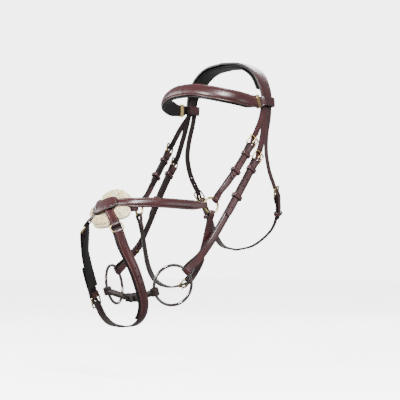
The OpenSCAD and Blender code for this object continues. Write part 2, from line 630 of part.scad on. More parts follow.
module bit_link() {
    color("#a9acb0") at_bore(1) translate([mouth_half, 0, -11]) {
        for (z = [-6, 3.9]) {
            translate([0, 0, z]) cylinder(r = 7.6, h = 2.1);
            for (k = [-12, 12]) {
                translate([k, 0, z]) cylinder(r = 5, h = 2.1);
                translate([k / 2, 0, z + 1.05]) box(12, 9.6, 2.1);
            }
        }
        translate([0, 0, -5]) cylinder(r = 5.6, h = 10);
        for (k = [-12, 12]) {
            translate([k, 0, -5]) cylinder(r = 2.1, h = 10);
        }
    }
}

crown();
crown_lining();
sliphead();
browband();
browband_lining();
browband_clip(1);  // browband_clip_left
browband_clip(-1);  // browband_clip_right
nose_fleece();
nose_patch();
nose_rivet();
chin_strap_left();
chin_strap_right();
chin_lining(1, steps(-0.2, 5.3, 26));  // chin_lining_left
chin_lining(-1, steps(-0.2, 2.9, 15));  // chin_lining_right
jaw_strap_left();
jaw_strap_right();
throat_lash();
bit_link();
buckle(away(frame(chin_line, chin_buckle_u, -1)), chin_w);  // chin_buckle
prong(away(frame(chin_line, chin_buckle_u, -1)));  // chin_prong
buckle(away(frame(jaw_line, jaw_buckle_u, 1)), jaw_w, 8);  // jaw_buckle
prong(away(frame(jaw_line, jaw_buckle_u, 1)), 8);  // jaw_prong
cheekpiece(1);  // cheekpiece_left
cheekpiece(-1);  // cheekpiece_right
cheek_keeper(1);  // cheek_keeper_left
cheek_keeper(-1);  // cheek_keeper_right
cheek_runner(1);  // cheek_runner_left
cheek_runner(-1);  // cheek_runner_right
stud(1);  // cheek_stud_left
stud(-1);  // cheek_stud_right
buckle(frame(cheek_line, cheek_buckle_u, 1), cheek_w);  // cheek_buckle_left
buckle(frame(cheek_line, cheek_buckle_u, -1), cheek_w);  // cheek_buckle_right
prong(frame(cheek_line, cheek_buckle_u, 1));  // cheek_prong_left
prong(frame(cheek_line, cheek_buckle_u, -1));  // cheek_prong_right
hanger(1);  // hanger_left
hanger(-1);  // hanger_right
hanger_keeper(1);  // hanger_keeper_left
hanger_keeper(-1);  // hanger_keeper_right
hanger_runner(1);  // hanger_runner_left
hanger_runner(-1);  // hanger_runner_right
buckle(frame(hanger_line, hanger_buckle_u, 1), hanger_w);  // hanger_buckle_left
buckle(frame(hanger_line, hanger_buckle_u, -1), hanger_w);  // hanger_buckle_right
prong(frame(hanger_line, hanger_buckle_u, 1));  // hanger_prong_left
prong(frame(hanger_line, hanger_buckle_u, -1));  // hanger_prong_right
cheek_ring(1);  // cheek_ring_left
cheek_ring(-1);  // cheek_ring_right
nose_strap(1);  // nose_strap_left
nose_strap(-1);  // nose_strap_right
chin_loop(1);  // chin_loop_left
chin_loop(-1);  // chin_loop_right
buckle(frame(throat_line, throat_buckle_u, 1), throat_w);  // throat_buckle_left
buckle(frame(throat_line, throat_buckle_u, -1), throat_w);  // throat_buckle_right
prong(frame(throat_line, throat_buckle_u, 1));  // throat_prong_left
prong(frame(throat_line, throat_buckle_u, -1));  // throat_prong_right
throat_runner(1);  // throat_runner_left
throat_runner(-1);  // throat_runner_right
bit_ring(1);  // bit_ring_left
bit_ring(-1);  // bit_ring_right
mouthpiece(1);  // mouthpiece_left
mouthpiece(-1);  // mouthpiece_right
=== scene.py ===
"""Snaffle bridle with a crossing noseband: the looks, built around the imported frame."""
import math
import bmesh
import bpy
import numpy as np
from mathutils import Matrix, Vector, noise


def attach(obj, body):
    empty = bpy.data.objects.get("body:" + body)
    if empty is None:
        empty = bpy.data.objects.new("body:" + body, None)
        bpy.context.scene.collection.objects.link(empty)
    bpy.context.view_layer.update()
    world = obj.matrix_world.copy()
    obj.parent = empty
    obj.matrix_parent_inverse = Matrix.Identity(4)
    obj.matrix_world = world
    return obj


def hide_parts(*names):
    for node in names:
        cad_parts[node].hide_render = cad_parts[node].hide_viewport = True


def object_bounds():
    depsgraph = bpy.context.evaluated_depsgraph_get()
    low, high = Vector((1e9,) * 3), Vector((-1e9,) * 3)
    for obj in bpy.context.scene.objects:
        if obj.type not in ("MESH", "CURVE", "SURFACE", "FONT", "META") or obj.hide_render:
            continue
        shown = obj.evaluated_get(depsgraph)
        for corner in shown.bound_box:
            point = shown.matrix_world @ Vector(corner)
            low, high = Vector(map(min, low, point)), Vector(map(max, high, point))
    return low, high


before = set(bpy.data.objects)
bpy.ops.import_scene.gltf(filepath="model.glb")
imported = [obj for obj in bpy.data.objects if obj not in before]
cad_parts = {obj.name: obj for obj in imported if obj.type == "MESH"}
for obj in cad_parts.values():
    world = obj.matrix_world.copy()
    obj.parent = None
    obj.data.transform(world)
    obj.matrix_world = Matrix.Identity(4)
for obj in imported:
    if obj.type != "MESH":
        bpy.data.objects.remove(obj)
cad_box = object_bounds()
noise.seed_set(1)     # without it noise_vector would follow the clock
MM = 0.001
WHITE = 5.0           # brightness of the white surround as the camera sees it
SIDES = ((1, "left"), (-1, "right"))

# ---------------------------------------- sizes in millimetres
CHEEK_W, HANGER_W, THROAT_W, NOSE_W, CHIN_W, JAW_W = 14, 13, 12, 17, 17, 14
CROWN_W, BROW_W, RING_FOLD_W = 36, 25, 10
BILLET_T, STRAP_T, FOLD_T = 2.4, 4.0, 1.8
BAR_FOLD, RING_FOLD, LOOP_FOLD, BIT_FOLD = 2.6, 3.8, 2.7, 4.3   # radius of a strap's fold round its metal
RETURN_LIFT = -3.2    # how far under a strap its sewn return lies
KEEPER_T = 1.8
TONGUE_GAP = 3.4      # width of the slots that the buckle tongues pass
RING_R = 33.5
CHEEK_RING_R = 13
PAD_R = 47
SAMPLE = 2.6          # spacing of the cross sections along a strap
BELLY_FACES = 5       # faces of a strap's cross section that are its under side
STITCH_PITCH = 2.9
EDGE_MARGIN, EDGE_SHARE = 2.6, 0.19   # a seam's distance from the edge, and its limit as a share of the width
RAISE = 0.52          # height of a raised middle against the strap's thickness

# Lines of the straps on the left side: x, y, z, and the turn and tilt of their outer face in degrees.
# A place on a line is a number u, counted in points of the line.
CROWN = [(0, 0, 0, 0, 90), (40, 0, -5, 0, 70), (70, 1, -23, 0, 45),
         (87, 0, -53, 0, 18), (92, 0, -84, 2, 6), (94, -2, -112, 4, 2)]
CHEEK = [(90, -4, -70, 2, 10), (94, -9, -100, 4, 5), (98, -18, -134, 6, 0),
         (100, -32, -170, 8, 0), (99, -57, -207, 10, 0), (95.5, -85, -248, 12, 0),
         (90, -116, -294, 15, 0), (86, -144, -331, 17, 0), (87, -171, -356, 12, 2)]
HANGER = [(0, 0, 0, 0, 90), (40, 0, -5, 0, 70), (70, 0, -23, 0, 45),
          (87, -1, -53, 0, 18), (92, -8, -85, 4, 8), (98, -26, -115, 6, 0),
          (99.5, -47, -147, 8, 0), (98.5, -70, -180, 12, 0), (95, -98, -215, 14, 0),
          (91, -122, -242, 16, 0)]
THROAT = [(90, 9, -70, -2, 10), (92.5, 5, -100, -5, 4), (94.5, -4, -134, -6, 0),
          (96, -7, -166, -8, 0), (95.5, 2, -200, -10, 0), (93.5, 20, -230, -12, -2),
          (89, 34, -258, -16, -8), (81, 40, -284, -22, -20), (68, 37, -308, -28, -42),
          (38, 27, -332, -20, -72), (0, 23, -340, 0, -90)]
NOSE = [(85, -166, -267, 21, 1), (80, -196, -266, 24, 3), (67, -243, -264, 32, 10),
        (46, -281, -264, 46, 22), (23, -299, -264.5, 66, 35), (0, -306, -269.5, 90, 42),
        (-20.5, -311.2, -284.5, 116, 34), (-36, -315.2, -301.3, 142, 16)]
CHIN = [(42.7, -315.2, -311.3, 36, 11), (51.5, -309, -339, 25, 6), (59, -293, -374, 14, 1),
        (60.5, -279, -407, 9, -3), (57, -269, -432, 5, -14), (47, -265, -453, -2, -40),
        (28, -264, -466, -10, -68), (0, -264, -470, 0, -90)]
JAW = [(86, -143, -290, 18, 0), (79, -142, -315, 17, -4), (70, -144, -346, 16, -12),
       (59, -147, -371, 12, -28), (43, -150, -391, 5, -50), (22, -152, -402, 0, -72),
       (0, -153, -406, 0, -90)]
BROW = [(93, -19, -77, 1, 8), (95.5, -42, -78, 12, 9), (90, -72, -74, 26, 13),
        (74, -95, -69, 46, 19), (50, -111, -63, 66, 25), (25, -118, -58, 80, 28),
        (0, -120, -57, 90, 29)]
CHEEK_BUCKLE, HANGER_BUCKLE, THROAT_BUCKLE, CHIN_BUCKLE, JAW_BUCKLE = 3.41, 6.36, 5.48, 3.5, 4.1
LOOP_HALF = 6         # half the length of the brass loop
STRAP_SPOKES = (21, 159, 224, 316)   # directions in which the straps leave the crossing, in degrees
PAD_SQUASH = 0.87     # height of the pad against its width
WOOL_SIZE = 0.93      # the wool against the CAD pad
WOOL_SHIFT = 3        # how far up the nose the wool sits on the pad
WOOL_TOP, WOOL_UNDER, WOOL_BACK = -4.8, -6, -13.2   # lift of its face, of the turn of its rim and of its back
WOOL_LOCKS = 3400
PATCH_LEAN = 29       # turn of the patch on the pad, in degrees
PATCH_SEAM = 0.885    # where the seam lies on the way to the edge of the patch
# Bites in the outline of the patch: direction in radians, depth
PATCH_NOTCHES = ((2.27, 1.2), (3.1, 0.9), (3.72, 0.9), (4.88, 1.4), (5.1, 1.4), (5.6, 0.9))
BROW_LOOP = 3.72      # where the browband loops round the crown
CHEEK_RING_P = np.array([88, -142.5, -266])
BIT_PIN = np.array([0, -0.358, 0.934])
BIT_TILT = math.radians(25)
BIT_BORE = np.array([57, -246.5, -411.5])


# ---------------------------------------- lines and frames
def unit(v):
    return np.asarray(v, float) / np.linalg.norm(v)


def flip(v, side):
    return np.array([side * v[0], v[1], v[2]], float)


def along(line, u):
    pts = [np.array(q, float) for q in line]
    last = len(pts) - 1
    i = max(0, min(math.floor(u), last - 1))
    b, c = pts[i], pts[i + 1]
    a = pts[i - 1] if i > 0 else 2 * b - c
    d = pts[i + 2] if i + 2 <= last else 2 * c - b
    t = u - i
    return 0.5 * (2 * b + (c - a) * t + (2 * a - 5 * b + 4 * c - d) * t * t
                  + (3 * b - a - 3 * c + d) * t ** 3)


def station(line, u, side=1):
    """Point, outward direction and direction of travel at u on a line."""
    q = along(line, u)
    t = unit(along(line, u + 0.01)[:3] - along(line, u - 0.01)[:3])
    yaw, pitch = math.radians(q[3]), math.radians(q[4])
    n = np.array([math.cos(yaw) * math.cos(pitch), -math.sin(yaw) * math.cos(pitch), math.sin(pitch)])
    n = unit(n - (n @ t) * t)
    return flip(q[:3], side), flip(n, side), flip(t, side)


def away(f):
    return f[0], f[1], -f[2]


def shifted(f, out, down):
    return f[0] + out * f[1] + down * f[2], f[1], f[2]


def value_at(table, u):
    """The value at u in a table of places and values."""
    xs, ys = zip(*table)
    return float(np.interp(u, xs, ys))


def spread(a, b, n):
    return [a + (b - a) * k / n for k in range(n + 1)]


# A section is centre, outward, width direction, width, thickness, how raised its middle is
def sections(line, side, us, lift, w, t, raised=((0, 0),)):
    out = []
    for u in us:
        p, n, d = station(line, u, side)
        out.append((p + value_at(lift, u) * n, n, np.cross(d, n), value_at(w, u), value_at(t, u),
                    value_at(raised, u)))
    return out


def under(line, side, us, lift, w, t):
    out = []
    for u in us:
        p, n, d = station(line, u, side)
        out.append((p + lift * n, -n, np.cross(d, n), w, t, 0))
    return out


def turn(f, r, a, b, n, w, t):
    out = []
    for k in spread(math.radians(a), math.radians(b), n):
        o = math.cos(k) * f[1] + math.sin(k) * f[2]
        out.append((f[0] + r * o, o, np.cross(f[2], f[1]), w, t, 0))
    return out


def turned(secs):
    return [(p, n, -w, a, t, r) for p, n, w, a, t, r in reversed(secs)]


def refine(secs, step=SAMPLE):
    """The same strap with smooth, evenly spaced sections."""
    data = np.array([np.concatenate([p, n, w, [a, t, r]]) for p, n, w, a, t, r in secs])
    gaps = np.linalg.norm(np.diff(data[:, :3], axis=0), axis=1)
    data = data[np.concatenate([[True], gaps > 0.15])]
    gaps = np.linalg.norm(np.diff(data[:, :3], axis=0), axis=1)
    run = np.concatenate([[0], np.cumsum(gaps)])
    slope = np.gradient(data, run, axis=0)
    count = max(2, int(round(run[-1] / step)))
    out = []
    for s in np.linspace(0, run[-1], count + 1):
        i = min(int(np.searchsorted(run, s, side="right")) - 1, len(run) - 2)
        h = run[i + 1] - run[i]
        x = (s - run[i]) / h
        v = ((1 + 2 * x) * (1 - x) ** 2 * data[i] + x * x * (3 - 2 * x) * data[i + 1]
             + h * x * (1 - x) ** 2 * slope[i] + h * x * x * (x - 1) * slope[i + 1])
        n, w = unit(v[3:6]), v[6:9]
        w = unit(w - (w @ n) * n)
        out.append((v[:3], n, w, v[9], max(0.4, v[10]), min(1, max(0, v[11]))))
    return out


# ---------------------------------------- materials
def new_material(name):
    m = bpy.data.materials.new(name)
    m.use_nodes = True
    return m, m.node_tree, m.node_tree.nodes["Principled BSDF"]


def set_inputs(node, values):
    for name, value in values.items():
        node.inputs[name].default_value = value


def feed(node, name, source):
    node.id_data.links.new(source, node.inputs[name])


def texture(tree, kind, scale, detail=2.0, stretch=None):
    start = tree.nodes.new("ShaderNodeTexCoord").outputs["Object"]
    if stretch:
        mapping = tree.nodes.new("ShaderNodeMapping")
        mapping.inputs["Scale"].default_value = stretch
        feed(mapping, "Vector", start)
        start = mapping.outputs["Vector"]
    node = tree.nodes.new("ShaderNodeTex" + kind)
    node.inputs["Scale"].default_value = scale
    if "Detail" in node.inputs:
        node.inputs["Detail"].default_value = detail
    feed(node, "Vector", start)
    return node


def ramp(tree, source, stops):
    node = tree.nodes.new("ShaderNodeValToRGB")
    elements = node.color_ramp.elements
    while len(elements) < len(stops):
        elements.new(0.5)
    for element, (place, colour) in zip(elements, stops):
        element.position = place
        element.color = (*colour, 1)
    feed(node, "Fac", source)
    return node.outputs["Color"]


def mix(tree, factor, a, b, kind="MIX"):
    node = tree.nodes.new("ShaderNodeMix")
    node.data_type = "RGBA"
    node.blend_type = kind
    if isinstance(factor, float):
        node.inputs["Factor"].default_value = factor
    else:
        feed(node, "Factor", factor)
    for socket, value in ((node.inputs["A"], a), (node.inputs["B"], b)):
        if isinstance(value, tuple):
            socket.default_value = (*value, 1)
        else:
            tree.links.new(value, socket)
    return node.outputs["Result"]


def spread_value(tree, source, low, high):
    node = tree.nodes.new("ShaderNodeMapRange")
    set_inputs(node, {"To Min": low, "To Max": high})
    feed(node, "Value", source)
    return node.outputs["Result"]


def bump(tree, height, distance, strength, under_bump=None):
    node = tree.nodes.new("ShaderNodeBump")
    set_inputs(node, {"Distance": distance, "Strength": strength})
    feed(node, "Height", height)
    if under_bump:
        feed(node, "Normal", under_bump)
    return node.outputs["Normal"]


def leather_material(name, dark, mid, light, edge, rough=(0.28, 0.44), coat=0.5):
    m, tree, shader = new_material(name)
    patches = texture(tree, "Noise", 28, 3)
    mottle = texture(tree, "Noise", 420, 4)
    pores = texture(tree, "Voronoi", 1250)
    base = ramp(tree, patches.outputs["Fac"], [(0.3, dark), (0.55, mid), (0.78, light)])
    base = mix(tree, 0.35, base, ramp(tree, mottle.outputs["Fac"], [(0.35, dark), (0.7, light)]))
    # The edge attribute pulls the colour to the edge colour: edge paint on the straps, and painted shade in
    # the notches of the crossing patch
    rim = tree.nodes.new("ShaderNodeAttribute")
    rim.attribute_name = "edge"
    base = mix(tree, rim.outputs["Fac"], base, edge)
    feed(shader, "Base Color", base)
    feed(shader, "Roughness", spread_value(tree, mottle.outputs["Fac"], *rough))
    fine = bump(tree, pores.outputs["Distance"], 0.00022, 0.3)
    crease = bump(tree, mottle.outputs["Fac"], 0.0002, 0.25, fine)
    feed(shader, "Normal", crease)
    set_inputs(shader, {"Coat Weight": coat, "Coat Roughness": 0.28, "Specular IOR Level": 0.35})
    return m


def thread_material(name, light, dark):
    m, tree, shader = new_material(name)
    twist = texture(tree, "Noise", 900, 2)
    colour = ramp(tree, twist.outputs["Fac"], [(0.3, dark), (0.7, light)])
    feed(shader, "Base Color", colour)
    feed(shader, "Normal", bump(tree, twist.outputs["Fac"], 0.0001, 0.5))
    shader.inputs["Roughness"].default_value = 0.7
    return m


def metal_material(name, light, dark, rough):
    m, tree, shader = new_material(name)
    smudge = texture(tree, "Noise", 60, 4)
    scratch = texture(tree, "Noise", 900, 3, stretch=(1, 1, 0.12))
    colour = ramp(tree, smudge.outputs["Fac"], [(0.3, dark), (0.62, light)])
    feed(shader, "Base Color", colour)
    feed(shader, "Roughness", spread_value(tree, smudge.outputs["Fac"], *rough))
    feed(shader, "Normal", bump(tree, scratch.outputs["Fac"], 0.00005, 0.3))
    shader.inputs["Metallic"].default_value = 1.0
    return m


def rubber_material():
    m, tree, shader = new_material("bit_rubber")
    cloud = texture(tree, "Noise", 140, 4)
    pits = texture(tree, "Voronoi", 900)
    colour = ramp(tree, cloud.outputs["Fac"],
                  [(0.3, (0.011, 0.006, 0.005)), (0.7, (0.026, 0.015, 0.013))])
    feed(shader, "Base Color", colour)
    feed(shader, "Roughness", spread_value(tree, cloud.outputs["Fac"], 0.35, 0.6))
    feed(shader, "Normal", bump(tree, pits.outputs["Distance"], 0.0002, 0.3))
    return m


def fleece_material():
    m, tree, shader = new_material("sheepskin")
    cloud = texture(tree, "Noise", 45, 3)
    curls = texture(tree, "Noise", 900, 6)
    locks = texture(tree, "Voronoi", 420)
    colour = ramp(tree, cloud.outputs["Fac"],
                  [(0.3, (0.90, 0.70, 0.40)), (0.5, (0.95, 0.82, 0.56)), (0.72, (0.97, 0.90, 0.72))])
    colour = mix(tree, 0.5, colour, ramp(tree, curls.outputs["Fac"],
                 [(0.35, (0.84, 0.76, 0.60)), (0.55, (0.98, 0.95, 0.88))]), "MULTIPLY")
    feed(shader, "Base Color", colour)
    first = bump(tree, curls.outputs["Fac"], 0.0008, 0.5)
    feed(shader, "Normal", bump(tree, locks.outputs["Distance"], 0.001, 0.5, first))
    set_inputs(shader, {"Roughness": 0.95, "Sheen Weight": 0.4, "Sheen Roughness": 0.6,
                        "Subsurface Weight": 0.35, "Subsurface Radius": (0.006, 0.005, 0.0035)})
    return m


# Each leather has a dark, a middle and a light colour and the colour of its painted edge, which on the
# crossing patch also paints shade into the notches
leather = leather_material("havana_leather", (0.016, 0.0027, 0.0033), (0.044, 0.0079, 0.0094),
                           (0.076, 0.0170, 0.0195), (0.005, 0.0020, 0.0019))
leather_raised = leather_material("havana_raised", (0.0150, 0.0026, 0.0032), (0.042, 0.0076, 0.0090),
                                  (0.072, 0.0163, 0.0187), (0.005, 0.0020, 0.0019),
                                  rough=(0.24, 0.38), coat=0.45)
flesh_side = leather_material("flesh_side", (0.010, 0.0038, 0.0033), (0.016, 0.006, 0.0052),
                              (0.024, 0.010, 0.0085), (0.006, 0.003, 0.0026), rough=(0.6, 0.8), coat=0.0)
lining = leather_material("black_lining", (0.0024, 0.0016, 0.0014), (0.004, 0.0028, 0.0025),
                          (0.0075, 0.0052, 0.0047), (0.0024, 0.0016, 0.0014), rough=(0.42, 0.62), coat=0.08)
thread = thread_material("linen_thread", (0.20, 0.105, 0.085), (0.11, 0.052, 0.042))
dark_thread = thread_material("dark_thread", (0.07, 0.028, 0.024), (0.035, 0.012, 0.010))
brass = metal_material("pale_brass", (0.56, 0.43, 0.20), (0.25, 0.175, 0.08), (0.2, 0.38))
steel = metal_material("polished_steel", (0.22, 0.195, 0.185), (0.10, 0.086, 0.082), (0.10, 0.22))
rubber = rubber_material()
fleece = fleece_material()


# ---------------------------------------- mesh building
def mesh_object(name, verts, faces, materials, face_slots=None, edge=None, sharp=35):
    mesh = bpy.data.meshes.new(name)
    mesh.from_pydata([tuple(v) for v in verts], [], faces)
    for material in materials:
        mesh.materials.append(material)
    if face_slots:
        mesh.polygons.foreach_set("material_index", face_slots)
    values = mesh.attributes.new("edge", "FLOAT", "POINT")
    values.data.foreach_set("value", [0.0] * len(verts) if edge is None else edge)
    mesh.shade_smooth()
    mesh.set_sharp_from_angle(angle=math.radians(sharp))
    mesh.update()
    obj = bpy.data.objects.new(name, mesh)
    bpy.context.scene.collection.objects.link(obj)
    return obj


def profile(w, t, raised):
    """Outline of a strap's cross section: across, up, darkness of the edge paint."""
    h, top, low = w / 2, t / 2, -t / 2
    c = min(0.9, 0.42 * t)
    margin = min(EDGE_MARGIN, EDGE_SHARE * w)
    bed = top - RAISE * t * raised          # the flat margin beside a raised middle
    dome = top - bed
    inner = h - margin - 0.45
    right = [(h - c * 0.15, low + 0.55 * (bed - low), 1.0), (h - c * 0.1, bed - c, 1.0),
             (h - c * 0.4, bed - c * 0.3, 0.75), (h - c, bed, 0.15), (h - margin + 0.45, bed, 0.0),
             (h - margin, bed - 0.22, 0.55), (inner, bed + 0.12 * dome, 0.1)]
    for k in (1, 2, 3):
        a = k * math.pi / 8
        rise = 0.12 * dome + (0.88 * dome + 0.18) * math.sin(a) ** 0.9
        right.append((inner * math.cos(a), bed + rise, 0.0))
    left = [(-a, z, e) for a, z, e in reversed(right)]
    centre = [(0.0, top + 0.18 * (1 - raised), 0.0)]
    belly = [(-h + c, low, 0.8), (-h * 0.5, low - 0.02, 0.5), (h * 0.5, low - 0.02, 0.5), (h - c, low, 0.8)]
    foot = (h - c * 0.15, low + c * 0.5, 1.0)
    return [foot] + right + centre + left + [(-foot[0], foot[1], foot[2])] + belly


def pillow(w, t, _raised):
    """Outline of a padded lining."""
    out = []
    for k in range(16):
        a = 2 * math.pi * k / 16
        x, z = math.cos(a), math.sin(a)
        out.append((w / 2 * math.copysign(abs(x) ** 0.6, x), t / 2 * math.copysign(abs(z) ** 0.75, z), 0.0))
    return out


def point_width(t):
    """Width of a pointed end: t runs from 0 where it starts to 1 at the tip."""
    return max(0.16, math.sqrt(max(0.0, 1 - t ** 2.2)))


def loft(name, secs, materials, shape=profile, taper=0, taper_start=0):
    """A strap through its sections; a second material goes on its under side.

    taper is the length of a pointed end, in millimetres."""
    secs = refine(secs)
    run = np.concatenate([[0], np.cumsum([np.linalg.norm(secs[i + 1][0] - secs[i][0])
                                          for i in range(len(secs) - 1)])])
    verts, edge, faces, slots = [], [], [], []
    for s, (p, n, w, width, thick, raised) in zip(run, secs):
        rest = run[-1] - s
        shrink = 1.0
        if taper and rest < taper:
            shrink = point_width((taper - rest) / taper)
        if taper_start and s < taper_start:
            shrink = point_width((taper_start - s) / taper_start)
        for a, z, e in shape(width * shrink, thick, raised):
            verts.append((p + a * w + z * n) * MM)
            edge.append(e)
    count = len(verts) // len(secs)
    for i in range(len(secs) - 1):
        for k in range(count):
            a, b = i * count + k, i * count + (k + 1) % count
            faces.append((a, b, b + count, a + count))
            slots.append(1 if len(materials) > 1 and k >= count - BELLY_FACES else 0)
    faces.append(tuple(range(count - 1, -1, -1)))
    faces.append(tuple(len(verts) - count + k for k in range(count)))
    slots += [0, 0]
    obj = mesh_object(name, verts, faces, materials, slots, edge)
    fix_normals(obj)
    return obj, secs, run


def fix_normals(obj):
    bm = bmesh.new()
    bm.from_mesh(obj.data)
    bmesh.ops.recalc_face_normals(bm, faces=bm.faces)
    bm.to_mesh(obj.data)
    bm.free()


def capsule(p, d, side, up, length, width, height):
    """One stitch: a small rounded bar lying along d."""
    rings, out = [(-0.5, 0.35), (-0.38, 0.85), (0, 1), (0.38, 0.85), (0.5, 0.35)], []
    for x, s in rings:
        for k in range(6):
            a = math.pi * k / 3
            across = width / 2 * math.cos(a) * side + height / 2 * math.sin(a) * up
            out.append(p + x * length * d + s * across)
    faces = []
    for i in range(4):
        for k in range(6):
            faces.append((6 * i + k, 6 * i + (k + 1) % 6, 6 * i + 6 + (k + 1) % 6, 6 * i + 6 + k))
    faces += [(5, 4, 3, 2, 1, 0), tuple(range(24, 30))]
    return out, faces


def add_part(verts, faces, part_verts, part_faces):
    faces += [tuple(k + len(verts) for k in face) for face in part_faces]
    verts += part_verts


def stitches(name, secs, run, start, end, material):
    """Stitches along both edges of a strap, between two distances from its start, in millimetres."""
    verts, faces = [], []
    points = np.array([s[0] for s in secs])
    for side in (-1, 1):
        s = start
        while s < end:
            i = max(1, min(int(np.searchsorted(run, s)), len(secs) - 1))
            x = (s - run[i - 1]) / max(1e-6, run[i] - run[i - 1])
            p = points[i - 1] * (1 - x) + points[i] * x
            n, w = unit(secs[i - 1][1] * (1 - x) + secs[i][1] * x), secs[i][2]
            width, thick, raised = secs[i][3], secs[i][4], secs[i][5]
            margin = min(EDGE_MARGIN, EDGE_SHARE * width)
            z = thick / 2 - RAISE * thick * raised - 0.05
            d = unit(points[i] - points[i - 1])
            d = unit(d + 0.12 * side * w)
            at = p + side * (width / 2 - margin) * w + z * n
            add_part(verts, faces, *capsule(at, d, unit(np.cross(n, d)), n, STITCH_PITCH * 0.76, 0.72, 0.6))
            s += STITCH_PITCH
    return mesh_object(name, [v * MM for v in verts], faces, [material], sharp=60)


def rounded_path(w, h, r, n=5):
    """Points round a rounded rectangle: across, up, outward across, outward up."""
    out = []
    for cx, cy, start in ((w / 2 - r, h / 2 - r, 0), (r - w / 2, h / 2 - r, 90),
                          (r - w / 2, r - h / 2, 180), (w / 2 - r, r - h / 2, 270)):
        for k in range(n):
            a = math.radians(start + 90 * k / (n - 1))
            out.append((cx + r * math.cos(a), cy + r * math.sin(a), math.cos(a), math.sin(a)))
    return out


def keeper(name, f, w, low, high, length, body, node):
    """A leather band round a stack of straps, domed outside, with creased edges."""
    p, n, d = f
    x = np.cross(d, n)
    mid = p + (low + high) / 2 * n
    band = [(-0.5, 0.0, 1), (-0.5, 0.55, 1), (-0.44, 0.85, 0.6), (-0.33, 0.93, 0.0), (-0.29, 0.84, 0.6),
            (-0.24, 0.96, 0.0), (0, 1.06, 0), (0.24, 0.96, 0.0), (0.29, 0.84, 0.6), (0.33, 0.93, 0.0),
            (0.44, 0.85, 0.6), (0.5, 0.55, 1), (0.5, 0.0, 1)]
    path = rounded_path(w, high - low, 0.8)
    verts, edge, faces = [], [], []
    for a, z, oa, oz in path:
        for along_band, out, e in band:
            rise = out * KEEPER_T
            verts.append((mid + (a + rise * oa) * x + (z + rise * oz) * n + along_band * length * d) * MM)
            edge.append(e)
    count, total = len(band), len(path)
    for i in range(total):
        for k in range(count):
            a, b = i * count + k, i * count + (k + 1) % count
            c = (i + 1) % total * count
            faces.append((a, c + k, c + (k + 1) % count, b))
    obj = mesh_object(name, verts, faces, [leather], edge=edge, sharp=50)
    fix_normals(obj)
    place(obj, body, "leather", node)


def punch(obj, cutters):
    """Cuts holes and slots: each cutter is a point, up, along, length, width and reach in millimetres."""
    bm = bmesh.new()
    for p, up, d, length, width, depth in cutters:
        side = np.cross(up, d)
        spots = []
        for k in range(20):
            a = 2 * math.pi * k / 20
            spots.append(math.copysign(max(0, length - width) / 2, math.cos(a)) * d
                         + width / 2 * (math.cos(a) * d + math.sin(a) * side))
        low = [bm.verts.new((p + q - depth * up) * MM) for q in spots]
        high = [bm.verts.new((p + q + depth * up) * MM) for q in spots]
        bm.faces.new(low[::-1])
        bm.faces.new(high)
        for k in range(20):
            bm.faces.new((low[k], low[(k + 1) % 20], high[(k + 1) % 20], high[k]))
    bmesh.ops.recalc_face_normals(bm, faces=bm.faces)
    mesh = bpy.data.meshes.new("cutter")
    bm.to_mesh(mesh)
    bm.free()
    cutter = bpy.data.objects.new("cutter", mesh)
    bpy.context.scene.collection.objects.link(cutter)
    modifier = obj.modifiers.new("holes", "BOOLEAN")
    modifier.object = cutter
    modifier.solver = "EXACT"
    cut = bpy.data.meshes.new_from_object(obj.evaluated_get(bpy.context.evaluated_depsgraph_get()))
    obj.modifiers.clear()
    obj.data = cut
    bpy.data.objects.remove(cutter)


def place(obj, body, slot_name, node):
    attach(obj, body)
    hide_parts(node)


def billet(name, secs, node, cuts, taper, taper_start=0):
    """A single layer of leather with a pointed end and punched holes."""
    strap, _, _ = loft(name, secs, [leather, flesh_side], taper=taper, taper_start=taper_start)
    punch(strap, cuts)
    place(strap, "headstall", "leather", node)


def sewn_strap(name, secs, node, sewn, top=leather, sewing=dark_thread, cuts=(), body="headstall", taper=0,
               seam_name=None):
    """A strap sewn along both edges. sewn is where the seams start and end; below 0, from the far end."""
    strap, secs, run = loft(name, secs, [top, flesh_side], taper=taper)
    if cuts:
        punch(strap, cuts)
    place(strap, body, "leather", node)
    start, end = (q if q >= 0 else run[-1] + q for q in sewn)
    seam = stitches(seam_name or name + "_stitches", secs, run, start, end, sewing)
    place(seam, body, "leather", node)


def padding(name, secs, node, body="headstall"):
    pad, _, _ = loft(name, secs, [lining], pillow)
    place(pad, body, "padding", node)


def holes(line, side, us, lift, size=2.6):
    out = []
    for u in us:
        p, n, d = station(line, u, side)
        out.append((p + lift * n, n, d, size, size, 2.6))
    return out


def slot_hole(f):
    """The long hole that a buckle tongue comes through, just above the bar."""
    return (f[0] + 4.2 * f[1] - 3.75 * f[2], f[1], f[2], 12.5, TONGUE_GAP, 4.2)


def fold_slot(f):
    """The slot in the fold round a buckle bar."""
    return (f[0], f[1], f[2], 8.8, TONGUE_GAP, 5)


# ---------------------------------------- headpiece
def over_poll(us, lift, width, t, raised):
    """Sections from the right side, over the poll, to the left side of the crown."""
    secs = []
    for u in us:
        side = -1 if u < 0 else 1
        p, n, _ = station(CROWN, abs(u), 1)
        secs.append((flip(p + lift * n, side), flip(n, side), np.array([0, -1, 0.0]), value_at(width, abs(u)),
                     t, raised))
    return secs


